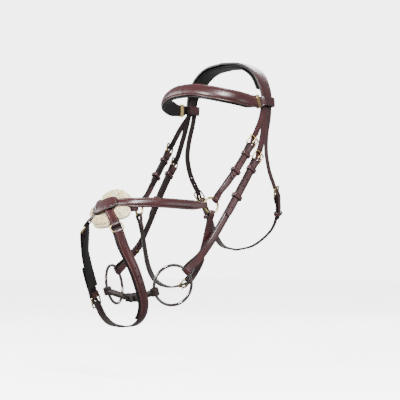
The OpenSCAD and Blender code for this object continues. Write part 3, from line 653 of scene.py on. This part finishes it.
def build_crown():
    wide = [(0, CROWN_W), (2, CROWN_W - 2), (3, 29), (3.4, 27), (4, 27)]
    sewn_strap("crown_strap", over_poll(spread(-3.9, 3.9, 60), 2.4, wide, 4.4, 0.25), "crown", (14, -14),
               seam_name="crown_stitches")
    for side, word in SIDES:
        secs = sections(CHEEK, side, spread(0.2, 2.6, 9) + spread(2.7, 4.1, 12) + spread(4.3, 5.75, 5),
                        [(0, 1.8), (2, 1), (3, 0.8), (3.3, 4.9), (3.5, 4.9), (3.76, 3.5), (7, 3.5)],
                        [(0, CHEEK_W - 1)], [(0, BILLET_T)])
        cuts = [slot_hole(station(CHEEK, CHEEK_BUCKLE, side))]
        cuts += holes(CHEEK, side, (2.35, 2.65), 0.9) + holes(CHEEK, side, (4.3, 4.6, 5.45), 3.5)
        billet("cheek_billet_" + word, secs, "crown", cuts, 11)
        secs = sections(THROAT, side, spread(0.2, 4.7, 13) + spread(4.8, 6.2, 12) + spread(6.4, 7, 3),
                        [(0, 1.8), (2, 1), (4.96, 1), (5.36, 4.9), (5.6, 4.9), (5.86, 3.5), (8, 3.5)],
                        [(0, THROAT_W - 1)], [(0, BILLET_T)])
        cuts = [slot_hole(station(THROAT, THROAT_BUCKLE, side))]
        cuts += holes(THROAT, side, (4.1, 4.5), 1) + holes(THROAT, side, (6.2, 6.85), 3.5)
        billet("throat_billet_" + word, secs, "crown", cuts, 10)


def build_crown_lining():
    secs = over_poll(spread(-2.9, 2.9, 40), -4.6, [(0, 38), (3, 32)], 4.4, 0)
    padding("crown_padding", secs, "crown_lining")


def build_sliphead():
    def half(side):
        return sections(HANGER, side, spread(0, 5.4, 22) + spread(5.6, 7, 12) + spread(7.2, 8.1, 4),
                        [(0, -1.3), (4, -1.3), (4.8, 1), (5.9, 1), (6.26, 4.9), (6.46, 4.9), (6.72, 3.5),
                         (9, 3.5)],
                        [(0, 22), (2.5, 20), (3.4, HANGER_W - 1), (9, HANGER_W - 1)], [(0, BILLET_T)])
    cuts = []
    for side, _ in SIDES:
        cuts.append(slot_hole(station(HANGER, HANGER_BUCKLE, side)))
        cuts += holes(HANGER, side, (5.3, 5.6), 1) + holes(HANGER, side, (7.25, 7.95), 3.5)
    billet("sliphead_strap", turned(half(-1)) + half(1)[1:], "sliphead", cuts, 11, 11)


def loop_path(side):
    p, n, d = station(CROWN, BROW_LOOP, side)
    b = np.array([0, -1.0, 0])
    out = []
    for fore, lift, angle in ((-12, -4.6, -90), (12, -4.6, -90), (15.5, -3.4, -45), (16.6, 0, 0),
                              (16.6, 3, 0), (15.5, 6.6, 45), (12, 7.6, 90), (0, 7.6, 90), (-12, 7.4, 90)):
        a = math.radians(angle)
        out.append((p - fore * b + lift * n, math.sin(a) * n - math.cos(a) * b, -side * d, 17, 2, 0))
    return out


def build_browband():
    width = [(0, 19), (0.5, 20.5), (1.3, BROW_W - 1), (3, BROW_W), (6, BROW_W)]
    thick = [(0, 3), (0.6, 4), (1.6, 6), (6, 6)]
    rise = [(0, 0), (0.45, 0), (0.9, 1), (6, 1)]

    def half(side):
        us = [0, 0.15] + spread(0.4, 5.8, 24)
        return loop_path(side) + sections(BROW, side, us, [(0, 0)], width, thick, rise)
    middle = sections(BROW, 1, [6], [(0, 0)], width, thick, rise)
    sewn_strap("browband_leather", half(1) + middle + turned(half(-1)), "browband", (92, -92),
               leather_raised, thread, body="browband_set", seam_name="browband_stitches")
    wide = [(0.9, 21), (1.5, BROW_W + 3), (6, BROW_W + 4)]
    left = sections(BROW, 1, spread(0.95, 6, 24), [(0, -5.2)], wide, [(0, 4.6)])
    right = sections(BROW, -1, spread(0.95, 5.8, 23), [(0, -5.2)], wide, [(0, 4.6)])
    padding("browband_padding", left + turned(right), "browband_lining", "browband_set")


# ---------------------------------------- cheekpieces and hangers
def bit_rad():
    k = np.cross(BIT_PIN, [1, 0, 0])
    back = -k if k[1] < 0 else k
    return math.cos(BIT_TILT) * back + math.sin(BIT_TILT) * np.array([1.0, 0, 0])


def bit_loop(side):
    rad = bit_rad()
    n = np.cross(rad, BIT_PIN)
    n = -n if n[0] < 0 else n
    e = math.cos(math.radians(28)) * rad + math.sin(math.radians(28)) * BIT_PIN
    w = np.cross(-e, n)
    d = np.array([0.06, -0.73, -0.68])
    t = unit(d - (d @ w) * w)
    centre = BIT_BORE + RING_R * rad
    return flip(centre + (RING_R - 0.45) * e, side), flip(np.cross(w, t), side), flip(t, side)


def build_cheekpiece(side, word):
    bar = station(CHEEK, CHEEK_BUCKLE, side)
    secs = (under(CHEEK, side, [3.71, 3.61, 3.51], -BAR_FOLD, CHEEK_W, FOLD_T)
            + turn(bar, BAR_FOLD, 180, 360, 8, CHEEK_W, FOLD_T)
            + sections(CHEEK, side, [3.51, 3.61, 3.71] + spread(3.86, 8, 24),
                       [(3.41, BAR_FOLD), (3.76, 0)], [(3, CHEEK_W)],
                       [(3.41, FOLD_T), (3.76, STRAP_T), (9, STRAP_T - 0.6)],
                       [(3.76, 0), (4, 0.25), (7.7, 0.25), (8, 0)])
            + turn(bit_loop(side), BIT_FOLD, 0, 180, 10, CHEEK_W, 2)
            + under(CHEEK, side, [7.75, 7.5, 7.2, 6.95], RETURN_LIFT, CHEEK_W, 2))
    sewn_strap("cheek_strap_" + word, secs, "cheekpiece_" + word, (32, -58), cuts=[fold_slot(bar)])


def ring_point(side, angle):
    yaw, a = math.radians(18), math.radians(angle)
    fore = flip((-math.sin(yaw), -math.cos(yaw), 0), side)
    e = math.cos(a) * fore + math.sin(a) * np.array([0, 0, 1.0])
    return (flip(CHEEK_RING_P, side) + (CHEEK_RING_R - 0.5) * e,
            flip((math.cos(yaw), -math.sin(yaw), 0), side), e)


def build_hanger(side, word):
    bar = station(HANGER, HANGER_BUCKLE, side)
    secs = (under(HANGER, side, [6.72, 6.61, 6.5], -BAR_FOLD, HANGER_W, FOLD_T)
            + turn(bar, BAR_FOLD, 180, 360, 8, HANGER_W, FOLD_T)
            + sections(HANGER, side, [6.5, 6.61, 6.72] + spread(6.86, 9, 17),
                       [(6.36, BAR_FOLD), (6.76, 0)], [(0, HANGER_W), (8.4, HANGER_W), (9, 10.5)],
                       [(6.36, FOLD_T), (6.76, STRAP_T), (8.4, STRAP_T), (9, 2.4)],
                       [(6.76, 0), (7, 0.25), (8.8, 0.2), (9, 0)])
            + turn(away(ring_point(side, 130)), RING_FOLD, 0, 180, 8, RING_FOLD_W, FOLD_T)
            + under(HANGER, side, [8.95, 8.7, 8.4], RETURN_LIFT, RING_FOLD_W, FOLD_T))
    sewn_strap("hanger_strap_" + word, secs, "hanger_" + word, (32, -42), cuts=[fold_slot(bar)])


# Strap, its line, place on the line, width, underside, top, length of the band, whether it slides
KEEPERS = (("cheek", CHEEK, 3.83, CHEEK_W + 0.4, -1.7, 5, 8, False),
           ("cheek", CHEEK, 5.03, CHEEK_W + 1.4, -2.7, 5.5, 8, True),
           ("hanger", HANGER, 6.85, HANGER_W + 0.4, -1.7, 5, 7, False),
           ("hanger", HANGER, 7.7, HANGER_W + 1.4, -2.7, 5.5, 7, True),
           ("throat", THROAT, 6.6, THROAT_W + 1.6, -2.6, 5.6, 7, True))


def build_keepers(side, word):
    for strap, line, u, w, low, high, length, slides in KEEPERS:
        name = strap + ("_sliding_band_" if slides else "_band_") + word
        node = strap + ("_runner_" if slides else "_keeper_") + word
        keeper(name, station(line, u, side), w, low, high, length, node if slides else "headstall", node)


# ---------------------------------------- noseband
def link_frame(side):
    t = unit((7, 0, -10))
    y, p = math.radians(38), math.radians(13)
    n = np.array([math.cos(y) * math.cos(p), -math.sin(y) * math.cos(p), math.sin(p)])
    n = unit(n - (n @ t) * t)
    return flip((39.3, -315.2, -306.3), side), flip(n, side), flip(t, side)


def build_nose_strap(side, word):
    top = shifted(link_frame(-side), 0, -LOOP_HALF)
    width = [(0, 12), (0.5, NOSE_W), (3, NOSE_W), (4.5, NOSE_W - 2), (6.8, NOSE_W - 2)]
    main = sections(NOSE, side, spread(0.1, 6.4, 36) + [6.6, 6.8],
                    [(0, 0.8), (0.5, 0), (0.9, 0.1), (3.6, 0.1), (4.2, 0), (6.3, 0), (6.6, 1.9), (6.8, 2.6)],
                    width,
                    [(0, 2.4), (0.5, 3), (0.9, 3.4), (3.6, 3.4), (4.2, 3), (6.3, 3), (6.8, 1.8)],
                    [(0, 0), (0.5, 0.2), (0.8, 1), (3.7, 1), (4.3, 0.3), (6.2, 0.3), (6.6, 0)])
    before = (under(NOSE, side, [0.5, 0.3, 0.1], RETURN_LIFT, 11, FOLD_T)
              + turn(ring_point(side, 0), RING_FOLD, 180, 360, 8, RING_FOLD_W, FOLD_T))
    after = (turn(top, LOOP_FOLD, 0, 180, 8, NOSE_W - 2, FOLD_T)
             + under(NOSE, side, [6.8, 6.6, 6.4], -LOOP_FOLD, NOSE_W - 2, FOLD_T))
    sewn_strap("nose_band_" + word, before + main + after, "nose_strap_" + word, (30, -24),
               leather_raised, thread)
    low = sections(NOSE, side, spread(0.75, 4, 18), [(0.75, -2), (0.95, -2.7), (3.6, -2.7), (4, -1.9)],
                   [(0, NOSE_W - 0.2)], [(0.75, 1.4), (0.95, 3), (3.6, 3), (4, 1.2)])
    padding("nose_padding_" + word, low, "nose_strap_" + word)


def chin_top(side):
    return (under(CHIN, side, [0.62, 0.4, 0.2], -2.8, CHIN_W - 2, FOLD_T)
            + turn(shifted(link_frame(side), 0, LOOP_HALF), LOOP_FOLD, 180, 360, 8, CHIN_W - 2, FOLD_T))


def chin_padding(side, us):
    return sections(CHIN, side, us, [(-0.3, -7), (0.8, -6.9), (1.25, -4.9), (8, -4.9)],
                    [(-0.3, CHIN_W + 1), (0.6, CHIN_W + 3)], [(-0.3, 4), (1.2, 5.2)])


def build_chin_straps():
    width = [(0, CHIN_W - 2), (1.2, CHIN_W), (8, CHIN_W)]
    main = sections(CHIN, 1, [0.2, 0.4] + spread(0.64, 7, 40), [(0.2, 2.4), (0.64, 0.1), (0.8, 0)], width,
                    [(0.2, FOLD_T), (0.64, 3.4), (0.9, STRAP_T), (5, STRAP_T), (6.5, BILLET_T)],
                    [(0.5, 0), (0.9, 1), (5, 1), (6.4, 0)])
    tail = turned(sections(CHIN, -1, spread(1.9, 2.6, 5) + spread(2.7, 4.2, 14) + spread(4.4, 6.8, 12),
                           [(1.9, 3.5), (3.1, 3.5), (3.42, 5), (3.62, 5), (4.15, 1.4), (6, 0.4), (7, 0)],
                           [(0, CHIN_W - 1)], [(0, BILLET_T)]))
    bar = station(CHIN, CHIN_BUCKLE, -1)
    cuts = [slot_hole(away(bar))] + holes(CHIN, -1, (2.3, 2.7, 4.4, 4.8), 2.4)
    cuts += holes(CHIN, 1, (1.95, 2.35, 2.75), 1.6, size=2.8)
    sewn_strap("chin_band_left", chin_top(1) + main + tail, "chin_strap_left", (22, -165),
               leather_raised, thread, cuts)
    main = sections(CHIN, -1, [0.2, 0.4] + spread(0.64, 3.1, 16) + [3.2, 3.3, 3.4],
                    [(0.2, 2.4), (0.64, 0.1), (0.8, 0), (3.1, 0), (3.5, BAR_FOLD)],
                    [(0, CHIN_W - 2), (1.2, CHIN_W)],
                    [(0.2, FOLD_T), (0.64, 3.4), (0.9, STRAP_T), (3.1, STRAP_T), (3.5, FOLD_T)],
                    [(0.5, 0), (0.9, 1), (2.7, 1), (3, 0)])
    after = (turn(bar, BAR_FOLD, 0, 180, 8, CHIN_W, FOLD_T)
             + under(CHIN, -1, [3.42, 3.3, 3.2], -BAR_FOLD, CHIN_W, FOLD_T))
    sewn_strap("chin_band_right", chin_top(-1) + main + after, "chin_strap_right", (22, -24),
               leather_raised, thread, [fold_slot(bar)])
    padding("chin_padding_left", chin_padding(1, spread(-0.48, 5.3, 32)), "chin_lining_left")
    padding("chin_padding_right", chin_padding(-1, spread(-0.48, 2.9, 20)), "chin_lining_right")


def jaw_top(side):
    return (under(JAW, side, [0.5, 0.3, 0.1], RETURN_LIFT, RING_FOLD_W, FOLD_T)
            + turn(ring_point(side, 270), RING_FOLD, 180, 360, 8, RING_FOLD_W, FOLD_T))


def build_jaw_straps():
    width = [(0, 10.5), (0.6, JAW_W), (8, JAW_W)]
    bar = station(JAW, JAW_BUCKLE, 1)
    secs = (jaw_top(1)
            + sections(JAW, 1, spread(0.1, 3.6, 18) + [3.75, 3.9, 4],
                       [(0, 0.8), (0.5, 0), (3.6, 0), (4.1, BAR_FOLD)], width,
                       [(0, 2), (0.6, 3.4), (3.6, 3.4), (4.1, FOLD_T)],
                       [(0.4, 0), (0.8, 0.25), (3.2, 0.25), (3.6, 0)])
            + turn(bar, BAR_FOLD, 0, 180, 8, JAW_W, FOLD_T)
            + under(JAW, 1, [4, 3.85, 3.7], -BAR_FOLD, JAW_W, FOLD_T))
    sewn_strap("jaw_band_left", secs, "jaw_strap_left", (26, -24), cuts=[fold_slot(bar)])
    main = sections(JAW, -1, spread(0.1, 6, 28), [(0, 0.8), (0.5, 0)], width,
                    [(0, 2), (0.6, 3.4), (5, 3.4), (6, BILLET_T)], [(0.4, 0), (0.8, 0.25), (5, 0.25), (6, 0)])
    tail = turned(sections(JAW, 1, spread(2.2, 3.2, 6) + spread(3.4, 4.9, 12) + [5.2, 5.6],
                           [(2.2, 3.4), (3.4, 3.4), (4, 5), (4.2, 5), (4.8, 1), (5.6, 0.5), (6, 0)],
                           [(0, JAW_W - 1)], [(0, BILLET_T)]))
    cuts = [slot_hole(away(bar))] + holes(JAW, 1, (2.6, 3.2), 3.4)
    sewn_strap("jaw_band_right", jaw_top(-1) + main + tail, "jaw_strap_right", (26, 165), sewing=thread,
               cuts=cuts, taper=10)


def build_throat_lash():
    u = THROAT_BUCKLE

    def half(side):
        return (under(THROAT, side, [u + 0.42, u + 0.25, u + 0.1], -BAR_FOLD, THROAT_W, FOLD_T)
                + turn(station(THROAT, u, side), BAR_FOLD, 180, 360, 8, THROAT_W, FOLD_T)
                + sections(THROAT, side, [u + 0.1, u + 0.25] + spread(u + 0.45, 9.8, 30),
                           [(u, BAR_FOLD), (u + 0.42, 0)], [(0, THROAT_W)],
                           [(u, FOLD_T), (u + 0.42, 3.4), (8, 3.4), (9, 3)], [(u, 0), (u + 0.6, 0.2)]))
    middle = sections(THROAT, 1, [10], [(0, 0)], [(0, THROAT_W)], [(0, 3)], [(0, 0.2)])
    sewn_strap("throat_strap", half(1) + middle + turned(half(-1)), "throat_lash", (30, -30),
               cuts=[fold_slot(station(THROAT, u, side)) for side, _ in SIDES])


# ---------------------------------------- nose pad
def pad_point(x, y, lift):
    """A point over the pad: x to the left, y up the nose, lift outward from its middle."""
    p, n, _ = station(NOSE, 5, 1)
    y = PAD_SQUASH * y
    drop = -x * x / 200 - y * y / (220 if y < 0 else 900)
    return p + x * np.array([1.0, 0, 0]) + y * np.cross(n, [1, 0, 0]) + (lift + drop) * n


def ramp_between(v, a, b):
    return max(0.0, min(1.0, (v - a) / (b - a)))


def strap_gap(r, a):
    """Distance from a point of the pad to the middle of the nearest strap."""
    turns = [a - math.radians(k) for k in STRAP_SPOKES]
    return min(abs(r * math.sin(t)) if math.cos(t) > 0 else r for t in turns)


def pad_edge(a):
    """Outline of the pad: pinched in under each strap."""
    return PAD_R * (0.8 + 0.2 * ramp_between(strap_gap(PAD_R, a), 0, 20))


def smooth(t):
    return t * t * (3 - 2 * t)


def pad_swell(r, a):
    """How much the wool rises between the straps."""
    return 6.3 * smooth(ramp_between(strap_gap(r, a), 7.5, 16)) * smooth(ramp_between(r, 18, 31))


def rim_round(q):
    """1 over the pad, falling to 0 at its rim."""
    return math.sqrt(max(0, 1 - max(0, (q - 0.8) / 0.2) ** 2))


def disc_faces(layers, spokes):
    """Faces over a first point, rings of points round it, and a last point that closes the other side."""
    faces, end = [], 1 + layers * spokes
    for k in range(spokes):
        n = (k + 1) % spokes
        faces += [(0, 1 + k, 1 + n), (end, end - spokes + n, end - spokes + k)]
        faces += [(1 + i * spokes + k, 1 + (i + 1) * spokes + k, 1 + (i + 1) * spokes + n, 1 + i * spokes + n)
                  for i in range(layers - 1)]
    return faces


def build_fleece():
    rings, spokes = 44, 180

    def at(q, k, lift, rough):
        a = 2 * math.pi * k / spokes
        r = WOOL_SIZE * pad_edge(a) * q
        rise = pad_swell(r, a) * (0.3 + 0.7 * rim_round(q)) if lift > WOOL_UNDER else 0
        base = pad_point(r * math.cos(a), r * math.sin(a) + WOOL_SHIFT, lift + rise)
        seed = Vector(base * 0.13)
        curl = noise.noise(seed) + 0.6 * noise.noise(seed * 2.6) + 0.4 * noise.noise(seed * 5.9)
        aside = noise.noise_vector(seed * 3.1)
        return base + rough * (0.9 * curl * station(NOSE, 5, 1)[1] + 0.5 * np.array(aside))

    verts = [at(0, 0, WOOL_TOP, 0.5)]
    layers = [(i / rings, WOOL_TOP - 1.6 * (i / rings) ** 8, 1.0) for i in range(1, rings + 1)]
    layers += [(1.01, -8.4, 0.9), (1.01, -10.2, 0.9), (0.985, -12.2, 0.8)]
    layers += [(i / 12, WOOL_BACK, 0.6) for i in range(11, 0, -1)]
    for q, lift, rough in layers:
        verts += [at(q, k, lift, rough) for k in range(spokes)]
    verts.append(at(0, 0, WOOL_BACK, 0.5))
    faces = disc_faces(len(layers), spokes)
    pad = mesh_object("fleece_disc", [v * MM for v in verts], faces, [fleece], sharp=180)
    fix_normals(pad)
    place(pad, "headstall", "sheepskin", "nose_fleece")
    build_wool()


def build_wool():
    """Short curled locks of wool over the outer face and the rim of the pad."""
    rng = np.random.default_rng(7)
    up = station(NOSE, 5, 1)[1]
    verts, faces = [], []
    for _ in range(WOOL_LOCKS):
        a, q = rng.uniform(0, 2 * math.pi), math.sqrt(rng.uniform(0.1, 1))
        r = (WOOL_SIZE - 0.02) * pad_edge(a) * q
        swell = pad_swell(r, a)
        if swell < 0.8 and q < 0.93:
            continue
        lift = -5 + swell * (0.3 + 0.7 * rim_round(q)) - 1.6 * q ** 8
        base = pad_point(r * math.cos(a), r * math.sin(a) + WOOL_SHIFT, lift)
        ahead = math.cos(a + rng.normal(0, 0.9)), math.sin(a + rng.normal(0, 0.9))
        flow = unit(pad_point(*ahead, 0) - pad_point(0, 0, 0))
        side = unit(np.cross(up, flow))
        long, wide = rng.uniform(1.6, 3.0), rng.uniform(0.35, 0.6)
        twist = rng.uniform(-0.8, 0.8)
        spine = [(0, 0, 0), (0.35, 0.55, 0.2), (0.75, 0.75, 0.7), (1, 0.45, 1)]
        start = len(verts)
        for (f, h, c), w in zip(spine, (1, 0.95, 0.6, 0.1)):
            mid = base + long * (0.55 * f * flow + 0.75 * h * up + 0.35 * c * twist * side)
            across, above = w * wide * side, w * wide * 0.6 * up
            verts += [mid + across, mid + above, mid - across, mid - above]
        for low in (start, start + 4, start + 8):
            faces += [(low + k, low + (k + 1) % 4, low + 4 + (k + 1) % 4, low + 4 + k) for k in range(4)]
        faces += [(start + 3, start + 2, start + 1, start), (start + 12, start + 13, start + 14, start + 15)]
    wool = mesh_object("fleece_locks", [v * MM for v in verts], faces, [fleece], sharp=180)
    place(wool, "headstall", "sheepskin", "nose_fleece")


def nearness(a, b, width):
    """1 where direction a is b, falling to 0 over a width in radians."""
    return math.exp(-(math.atan2(math.sin(a - b), math.cos(a - b)) / width) ** 2)


def patch_edge(a):
    """Outline of the patch, with a bite beside each strap that it covers."""
    c, s = math.cos(a), math.sin(a)
    r = ((abs(c) / 26.6) ** 2.6 + (abs(s) / 16.1) ** 2.6) ** (-1 / 2.6)
    return r - sum(depth * nearness(a, b, 0.1) for b, depth in PATCH_NOTCHES)


def build_patch():
    spokes = 160
    bands = [(0.25, 0.48, 0), (0.5, 0.42, 0), (0.66, 0.3, 0), (0.78, 0.15, 0), (0.85, 0.0, 0),
             (PATCH_SEAM, -0.2, 0.6), (0.92, 0.0, 0.1), (0.97, -0.15, 0.5), (0.995, -0.6, 1), (1.0, -1.2, 1),
             (0.99, -2.0, 1)]
    lean = math.radians(PATCH_LEAN)
    verts, edge = [pad_point(0, 0, 4.5)], [0]
    for scale, lift, tone in bands:
        for k in range(spokes):
            a = 2 * math.pi * k / spokes
            # notch_dip_and_shade sinks the rim at each notch and also darkens it there: painted shade in the
            # slots where the straps pass under the patch
            notch_dip_and_shade = 0
            if scale > 0.8:
                notch_dip_and_shade = max(nearness(a, b, 0.04 + 0.06 * depth) for b, depth in PATCH_NOTCHES)
            r = patch_edge(a) * scale
            verts.append(pad_point(r * math.cos(a + lean), r * math.sin(a + lean), 4.0 + lift - 0.9 * notch_dip_and_shade))
            # Near the notches the edge attribute is raised to full darkness: painted shade, not edge paint
            edge.append(max(tone, min(1, 1.3 * notch_dip_and_shade)))
    verts.append(pad_point(0, 0, 2.1))
    edge.append(1)
    patch = mesh_object("crossing_patch", [v * MM for v in verts], disc_faces(len(bands), spokes),
                        [leather_raised], edge=edge, sharp=50)
    fix_normals(patch)
    place(patch, "headstall", "leather", "nose_patch")
    build_patch_stitches(lean)


def build_patch_stitches(lean):
    count = 64
    verts, faces = [], []
    up = station(NOSE, 5, 1)[1]
    for k in range(count):
        a = 2 * math.pi * (k + 0.5) / count
        if max(nearness(a, b, 0.1) for b, _ in PATCH_NOTCHES) > 0.4:
            continue
        ends = []
        for c in (a, a + 0.04):
            r = PATCH_SEAM * patch_edge(c)
            ends.append(pad_point(r * math.cos(c + lean), r * math.sin(c + lean), 3.95))
        d = unit(ends[1] - ends[0])
        add_part(verts, faces, *capsule(ends[0], d, unit(np.cross(up, d)), up, 1.7, 0.55, 0.5))
    seam = mesh_object("patch_stitches", [v * MM for v in verts], faces, [thread], sharp=60)
    place(seam, "headstall", "leather", "nose_patch")


# ---------------------------------------- materials on the CAD pieces
def dress_nodes():
    for name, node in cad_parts.items():
        if any(word in name for word in ("buckle", "prong", "cheek_ring", "chin_loop", "clip", "stud")):
            material = brass
        elif name.startswith(("bit_ring", "bit_link")) or "rivet" in name:
            material = steel
        elif name.startswith("mouthpiece"):
            material = rubber
        else:
            material = leather
        node.data.materials.clear()
        node.data.materials.append(material)


# ---------------------------------------- floor, light and camera
def build_stage():
    """A pale floor and surround that the camera sees as white, while the lamps light the bridle."""
    low, reach = cad_box[0][2] - 0.09, 9
    mesh = bpy.data.meshes.new("floor")
    mesh.from_pydata([(-reach, -reach, low), (reach, -reach, low), (reach, reach, low), (-reach, reach, low)],
                     [], [(0, 1, 2, 3)])
    floor = bpy.data.objects.new("floor", mesh)
    bpy.context.scene.collection.objects.link(floor)
    m, tree, shader = new_material("pale_floor")
    cloud = texture(tree, "Noise", 3, 2)
    paper = ramp(tree, cloud.outputs["Fac"], [(0.3, (0.97, 0.97, 0.965)), (0.7, (1, 1, 1))])
    feed(shader, "Base Color", paper)
    feed(shader, "Emission Color", paper)
    set_inputs(shader, {"Emission Strength": 0.8 * WHITE, "Roughness": 0.9})
    mesh.materials.append(m)
    floor.visible_diffuse = False
    floor.visible_glossy = False
    world = bpy.data.worlds.new("studio")
    world.use_nodes = True
    tree = world.node_tree
    background = tree.nodes["Background"]
    seen = tree.nodes.new("ShaderNodeLightPath")
    strength = spread_value(tree, seen.outputs["Is Camera Ray"], 0.5, WHITE)
    feed(background, "Strength", strength)
    background.inputs["Color"].default_value = (1, 1, 1, 1)
    bpy.context.scene.world = world


# Name, place, target, size and power
LAMPS = (("key", (1.5, -1.15, 1.4), (0, -0.15, -0.25), 0.6, 105),
         ("side", (2.2, 0.5, -0.1), (0, -0.15, -0.25), 1.0, 9),
         ("front", (0.2, -2.2, 0.7), (0, -0.15, -0.25), 0.7, 70),
         ("fill", (-1.8, -1.2, 0.5), (0, -0.15, -0.25), 1.4, 36),
         ("rim", (-0.7, 1.8, 1.1), (0, -0.1, -0.25), 1.2, 32))


def area_light(name, place_at, target, size, power):
    data = bpy.data.lights.new(name, "AREA")
    data.shape = "DISK"
    data.size = size
    data.energy = power
    lamp = bpy.data.objects.new(name, data)
    lamp.location = place_at
    lamp.rotation_euler = (Vector(target) - Vector(place_at)).to_track_quat("-Z", "Y").to_euler()
    bpy.context.scene.collection.objects.link(lamp)


def build_camera():
    azimuth, elevation, distance = math.radians(43), math.radians(-3), 2.2
    back = Vector((math.sin(azimuth) * math.cos(elevation), -math.cos(azimuth) * math.cos(elevation),
                   math.sin(elevation)))
    right = Vector((math.cos(azimuth), math.sin(azimuth), 0))
    up = back.cross(right)
    target = Vector((-0.0467, -0.0258, -0.2476))
    data = bpy.data.cameras.new("camera")
    data.sensor_width = 36
    data.lens = 107
    camera = bpy.data.objects.new("camera", data)
    turn_to = Matrix((right, up, back)).transposed()
    camera.matrix_world = Matrix.Translation(target + distance * back) @ turn_to.to_4x4()
    bpy.context.scene.collection.objects.link(camera)
    bpy.context.scene.camera = camera


build_camera()
build_stage()
for lamp in LAMPS:
    area_light(*lamp)
dress_nodes()
build_crown()
build_crown_lining()
build_sliphead()
build_browband()
for side, word in SIDES:
    build_cheekpiece(side, word)
    build_hanger(side, word)
    build_keepers(side, word)
    build_nose_strap(side, word)
build_chin_straps()
build_jaw_straps()
build_throat_lash()
build_fleece()
build_patch()
